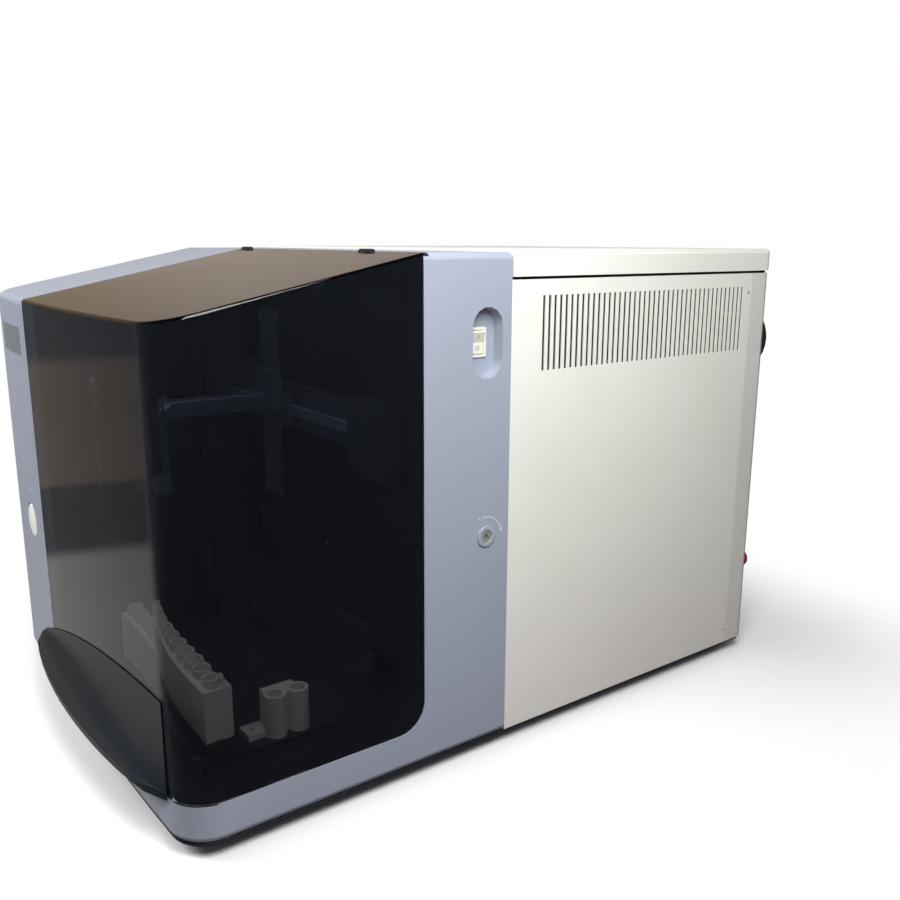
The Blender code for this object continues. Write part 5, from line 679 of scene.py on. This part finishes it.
def cover_black_edge():
    """A black strip on the inside of the cover's side, along its rear and lower edges."""
    low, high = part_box("cover_shell")
    rear, foot, top, front = high.y - 0.0015, low.z + 0.0040, 0.5300, -0.3560
    wide, inset = 0.0130, 0.0033
    outline = [(front, foot), (-0.1719, foot), (-0.1500, foot + 0.0080), (rear, foot + 0.0300), (rear, top)]
    outline += [(rear - wide, top - 0.0040), (rear - wide, foot + 0.0330), (-0.1610, foot + wide + 0.0060)]
    outline += [(-0.1760, foot + wide), (front, foot + wide)]
    origin, slot = (SIDE - inset, 0, 0), "black_plastic"
    flat_piece("cover_border", [outline], origin, ACROSS, UP, 0.0002, FINISHES[slot], "cover")


def panel_screws():
    """Two screws at the rear edge of each side panel."""
    wall, rear = 0.2890, 0.3508
    places = []
    for side in (1, -1):
        for z in (0.4853, 0.0368):
            places.append((Vector((side * wall, rear, z)), (side, 0, 0)))
    screws("panel_screws", "analyser", places, 0.0016, 0.0006)


def bay_screws():
    """Screws of the sheet parts in the loader bay."""
    places = []
    wall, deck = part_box("tray_wall"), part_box("rack_deck")
    for x in (-0.050, 0.080, 0.215):
        places.append((Vector((x, wall[1].y - 0.0015, 0.085)), (0, -1, 0)))
    for x in (-0.085, 0.070, 0.225):
        places.append((Vector((x, deck[0].y + 0.006, deck[1].z - 0.0040)), (0, 0, 1)))
    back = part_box("bay_back_plate")[0].y
    for x in (-0.095, 0.085, 0.270):
        for z in (0.200, 0.500):
            places.append((Vector((x, back, z)), (0, -1, 0)))
    for node, side in (("beam_bracket_left", 1), ("beam_bracket_right", -1)):
        low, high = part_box(node)
        face = high.x if side > 0 else low.x
        for y, z in ((-0.150, 0.335), (-0.150, 0.385), (-0.176, 0.385)):
            places.append((Vector((face, y, z)), (side, 0, 0)))
    screws("bay_screws", "analyser", places, 0.0024, 0.0012, seed=7)
    low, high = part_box("carriage")
    middle = (low.x + high.x) / 2
    places = []
    for x in (-0.018, 0.018):
        for z in (0.2770, 0.4400, 0.4650):
            places.append((Vector((middle + x, low.y, z)), (0, -1, 0)))
    screws("carriage_screws", "carrier", places, 0.0018, 0.0010, seed=9)


def hose(name, points, radius, material, body):
    """A round hose led by points."""
    curve = bpy.data.curves.new(name, "CURVE")
    curve.dimensions = "3D"
    curve.bevel_depth = radius
    curve.bevel_resolution = 2
    curve.resolution_u = 8
    curve.use_fill_caps = True
    line = curve.splines.new("NURBS")
    line.points.add(len(points) - 1)
    for item, point in zip(line.points, points):
        item.co = (*point, 1)
    line.use_endpoint_u = True
    line.order_u = 4
    obj = bpy.data.objects.new("guide", curve)
    bpy.context.scene.collection.objects.link(obj)
    mesh = applied(obj)
    mesh.shade_smooth()
    piece(name, mesh, material, body)


def pump_hoses():
    """Two hoses from the vacuum pump to the fluid ports."""
    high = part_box("vacuum_pump")[1]
    port_y, port_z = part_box("fluid_port_block")[0].y, 0.1150
    for i, (start, end) in enumerate(((0.172, 0.165), (0.208, 0.200))):
        path = [(start, high.y - 0.030, high.z - 0.004), (start, high.y - 0.020, high.z + 0.024)]
        path += [(end, high.y + 0.020, high.z + 0.030)]
        path += [(end, port_y - 0.030, port_z), (end, port_y + 0.002, port_z)]
        hose("pump_hose_%d" % i, path, 0.0030, HOSE, "analyser")


def number_text(words, size, thickness):
    """A mesh of plain figures, in its own plane."""
    curve = bpy.data.curves.new("figure", "FONT")
    curve.body = words
    curve.size = size
    curve.extrude = thickness / 2
    curve.resolution_u = 2
    curve.align_x = "CENTER"
    curve.align_y = "CENTER"
    obj = bpy.data.objects.new("guide", curve)
    bpy.context.scene.collection.objects.link(obj)
    return applied(obj)


def rack_numbers():
    """Place numbers 1 to 10 on the front of the rack."""
    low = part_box("tube_rack")[0]
    count, pitch, height = 10, 0.0235, 0.1330
    upright = Matrix.Rotation(math.pi / 2, 4, "X")
    bm = bmesh.new()
    for i in range(count):
        mesh = number_text(str(i + 1), 0.0070, 0.00008)
        place = Matrix.Translation((low.x + pitch * (i + 0.5), low.y - 0.00006, height))
        mesh.transform(place @ upright)
        bm.from_mesh(mesh)
        bpy.data.meshes.remove(mesh)
    mesh = bpy.data.meshes.new("rack_numbers")
    bm.to_mesh(mesh)
    bm.free()
    piece("rack_numbers", mesh, PRINT, "rack")


def fan_screws():
    """Four screws in the rim of the fan housing."""
    low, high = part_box("fan_housing")
    middle = (low + high) / 2
    radius = 0.0437
    places = []
    for angle in (45, 135, 225, 315):
        x = middle.x + radius * math.cos(math.radians(angle))
        z = middle.z + radius * math.sin(math.radians(angle))
        places.append(surface("fan_housing", (x, high.y + 0.05, z), (0, -1, 0)))
    screws("fan_screws", "analyser", places, 0.0016, 0.0010, seed=5)


def rear_screws():
    """Four screws down each edge of the rear panel."""
    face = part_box("rear_panel")[1].y
    places = []
    for x in (-0.272, 0.272):
        for z in (0.035, 0.18, 0.34, 0.49):
            places.append((Vector((x, face, z)), (0, 1, 0)))
    screws("rear_screws", "analyser", places, 0.0030, 0.0016)


def fitting_screws():
    """Screws of the power inlet and of the data port plate."""
    places = []
    low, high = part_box("power_inlet")
    for x in (low.x + 0.0045, high.x - 0.0045):
        places.append((Vector((x, high.y, (low.z + high.z) / 2)), (0, 1, 0)))
    low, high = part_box("data_port_plate")
    for x in (low.x + 0.0042, high.x - 0.0042):
        for z in (low.z + 0.0042, high.z - 0.0042):
            places.append((Vector((x, high.y, z)), (0, 1, 0)))
    screws("fitting_screws", "analyser", places, 0.0022, 0.0012)


# Stage, lamps and camera


def lamp(name, place, target, size, power, mirrored):
    """An area lamp that shines at a target; mirrored says whether glossy faces show it."""
    data = bpy.data.lights.new(name, "AREA")
    data.shape = "RECTANGLE"
    data.size, data.size_y = size
    data.energy = power
    obj = bpy.data.objects.new(name, data)
    bpy.context.scene.collection.objects.link(obj)
    obj.location = place
    obj.rotation_euler = (Vector(target) - Vector(place)).to_track_quat("-Z", "Y").to_euler()
    obj.visible_glossy = mirrored


def stage_floor():
    """A pale round floor that keeps the object's shadow and fades into the white behind."""
    radius, level = 2.6, -0.0004
    half_width, half_depth, near, far = 0.29, 0.39, 0.04, 0.36
    mesh = bpy.data.meshes.new("floor")
    rim = [(radius * x, radius * y, level) for x, y in circle(1, 96)]
    mesh.from_pydata(rim, [], [list(range(len(rim)))])
    obj = bpy.data.objects.new("floor", mesh)
    bpy.context.scene.collection.objects.link(obj)
    g = Graph("floor_white")
    x, y = g.axes(g.place())[:2]
    beside, beyond = (abs(x) - half_width).above(0), (abs(y) - half_depth).above(0)
    fade = ((beside * beside + beyond * beyond) ** 0.5).smooth(near, far)
    seen = g.add("ShaderNodeLightPath", output="Is Camera Ray")
    mirrored = g.add("ShaderNodeLightPath", output="Is Glossy Ray")
    table = g.mix(seen, (0.24, 0.22, 0.21, 1), (0.90, 0.90, 0.90, 1))
    g.set(Base_Color=table, Roughness=0.9)
    g.link(0.0, g.shader.inputs["Specular IOR Level"])
    clear = g.add("ShaderNodeBsdfTransparent")
    lit = Value(g, g.shader.outputs[0])
    hidden = (fade * seen + mirrored) - fade * seen * mirrored
    g.link(g.add("ShaderNodeMixShader", None, {0: hidden, 1: lit, 2: clear}), g.output.inputs[0])
    mesh.materials.append(g.material)


def white_world():
    """White where it is seen straight or through glass, a room's soft light elsewhere."""
    world = bpy.data.worlds.new("white")
    bpy.context.scene.world = world
    world.use_nodes = True
    tree = world.node_tree
    tree.nodes.clear()

    def new(kind, settings=None, inputs=None, output=0):
        return add(tree, kind, settings, inputs).outputs[output]

    def step(value, low, high):
        return new("ShaderNodeMapRange", {"interpolation_type": "SMOOTHSTEP"}, {0: value, 1: low, 2: high})

    def mix(factor, first, second):
        return new("ShaderNodeMix", {"data_type": "RGBA"}, {0: factor, 6: first, 7: second}, 2)

    # The room that glossy faces mirror, in bands by height: furniture on the left, a dim side on the right
    path = tree.nodes.new("ShaderNodeLightPath").outputs
    direction = new("ShaderNodeTexCoord", output="Generated")
    split = tree.nodes.new("ShaderNodeSeparateXYZ")
    tree.links.new(direction, split.inputs[0])
    x, y, z = split.outputs
    bench = mix(step(z, -0.315, -0.300), (0.36, 0.335, 0.300, 1), (0.045, 0.034, 0.024, 1))
    cupboard = mix(step(z, -0.245, -0.238), bench, (0.175, 0.130, 0.085, 1))
    shelf = mix(step(z, -0.125, -0.110), cupboard, (0.045, 0.038, 0.030, 1))
    wall = mix(step(z, -0.060, 0.0), shelf, (0.15, 0.13, 0.115, 1))
    above = mix(step(y, 0.17, 0.38), (0.35, 0.255, 0.160, 1), (0.50, 0.41, 0.33, 1))
    ceiling = mix(step(z, 0.02, 0.16), wall, above)
    dim = mix(step(z, -0.45, -0.02), (0.020, 0.026, 0.036, 1), (0.085, 0.105, 0.150, 1))
    room = mix(step(x, -0.45, -0.88), dim, ceiling)
    soft = mix(path["Is Glossy Ray"], (0.17, 0.175, 0.185, 1), room)
    lit = new("ShaderNodeBackground", None, {0: soft, 1: 1.0})
    white = new("ShaderNodeBackground", None, {0: (1, 1, 1, 1), 1: 1.0})
    rays = {0: path["Is Camera Ray"], 1: path["Is Transmission Ray"]}
    straight = new("ShaderNodeMath", {"operation": "MAXIMUM"}, rays)
    mixed = new("ShaderNodeMixShader", None, {0: straight, 1: lit, 2: white})
    output = tree.nodes.new("ShaderNodeOutputWorld")
    tree.links.new(mixed, output.inputs[0])


def camera():
    """The photograph's view, as fitted to the housing's edges."""
    place = (0.9917, -0.6325, 0.5460)
    yaw, pitch, roll = math.radians(53.363), math.radians(12.864), math.radians(0.231)
    reach = math.cos(pitch)
    forward = Vector((-math.sin(yaw) * reach, math.cos(yaw) * reach, -math.sin(pitch)))
    level = Vector((math.cos(yaw), math.sin(yaw), 0))
    upright = level.cross(forward)
    across = level * math.cos(roll) + upright * math.sin(roll)
    upwards = upright * math.cos(roll) - level * math.sin(roll)
    data = bpy.data.cameras.new("camera")
    data.sensor_width = 36
    data.lens = 36.588
    data.clip_start = 0.01
    obj = bpy.data.objects.new("camera", data)
    bpy.context.scene.collection.objects.link(obj)
    turn = Matrix((across, upwards, -forward)).transposed().to_4x4()
    obj.matrix_world = Matrix.Translation(place) @ turn
    bpy.context.scene.camera = obj


def lamps():
    lamp("near_ceiling", (0.80, -0.30, 1.00), (0.25, 0.0, 0.30), (0.55, 0.55), 13.3, True)
    lamp("left_front", (-0.9, -1.5, 1.3), (-0.1, -0.3, 0.25), (0.9, 0.9), 38, False)
    lamp("overhead", (-0.1, 0.0, 1.9), (0.0, 0.0, 0.3), (1.4, 1.4), 7, False)


dress_all()
name_plate()
lock_arrow()
rocker_marks()
vent_filters()
cover_black_edge()
panel_screws()
bay_screws()
pump_hoses()
rack_numbers()
fan_screws()
rear_screws()
fitting_screws()
stage_floor()
white_world()
lamps()
camera()
bpy.context.scene.view_settings.view_transform = "Standard"
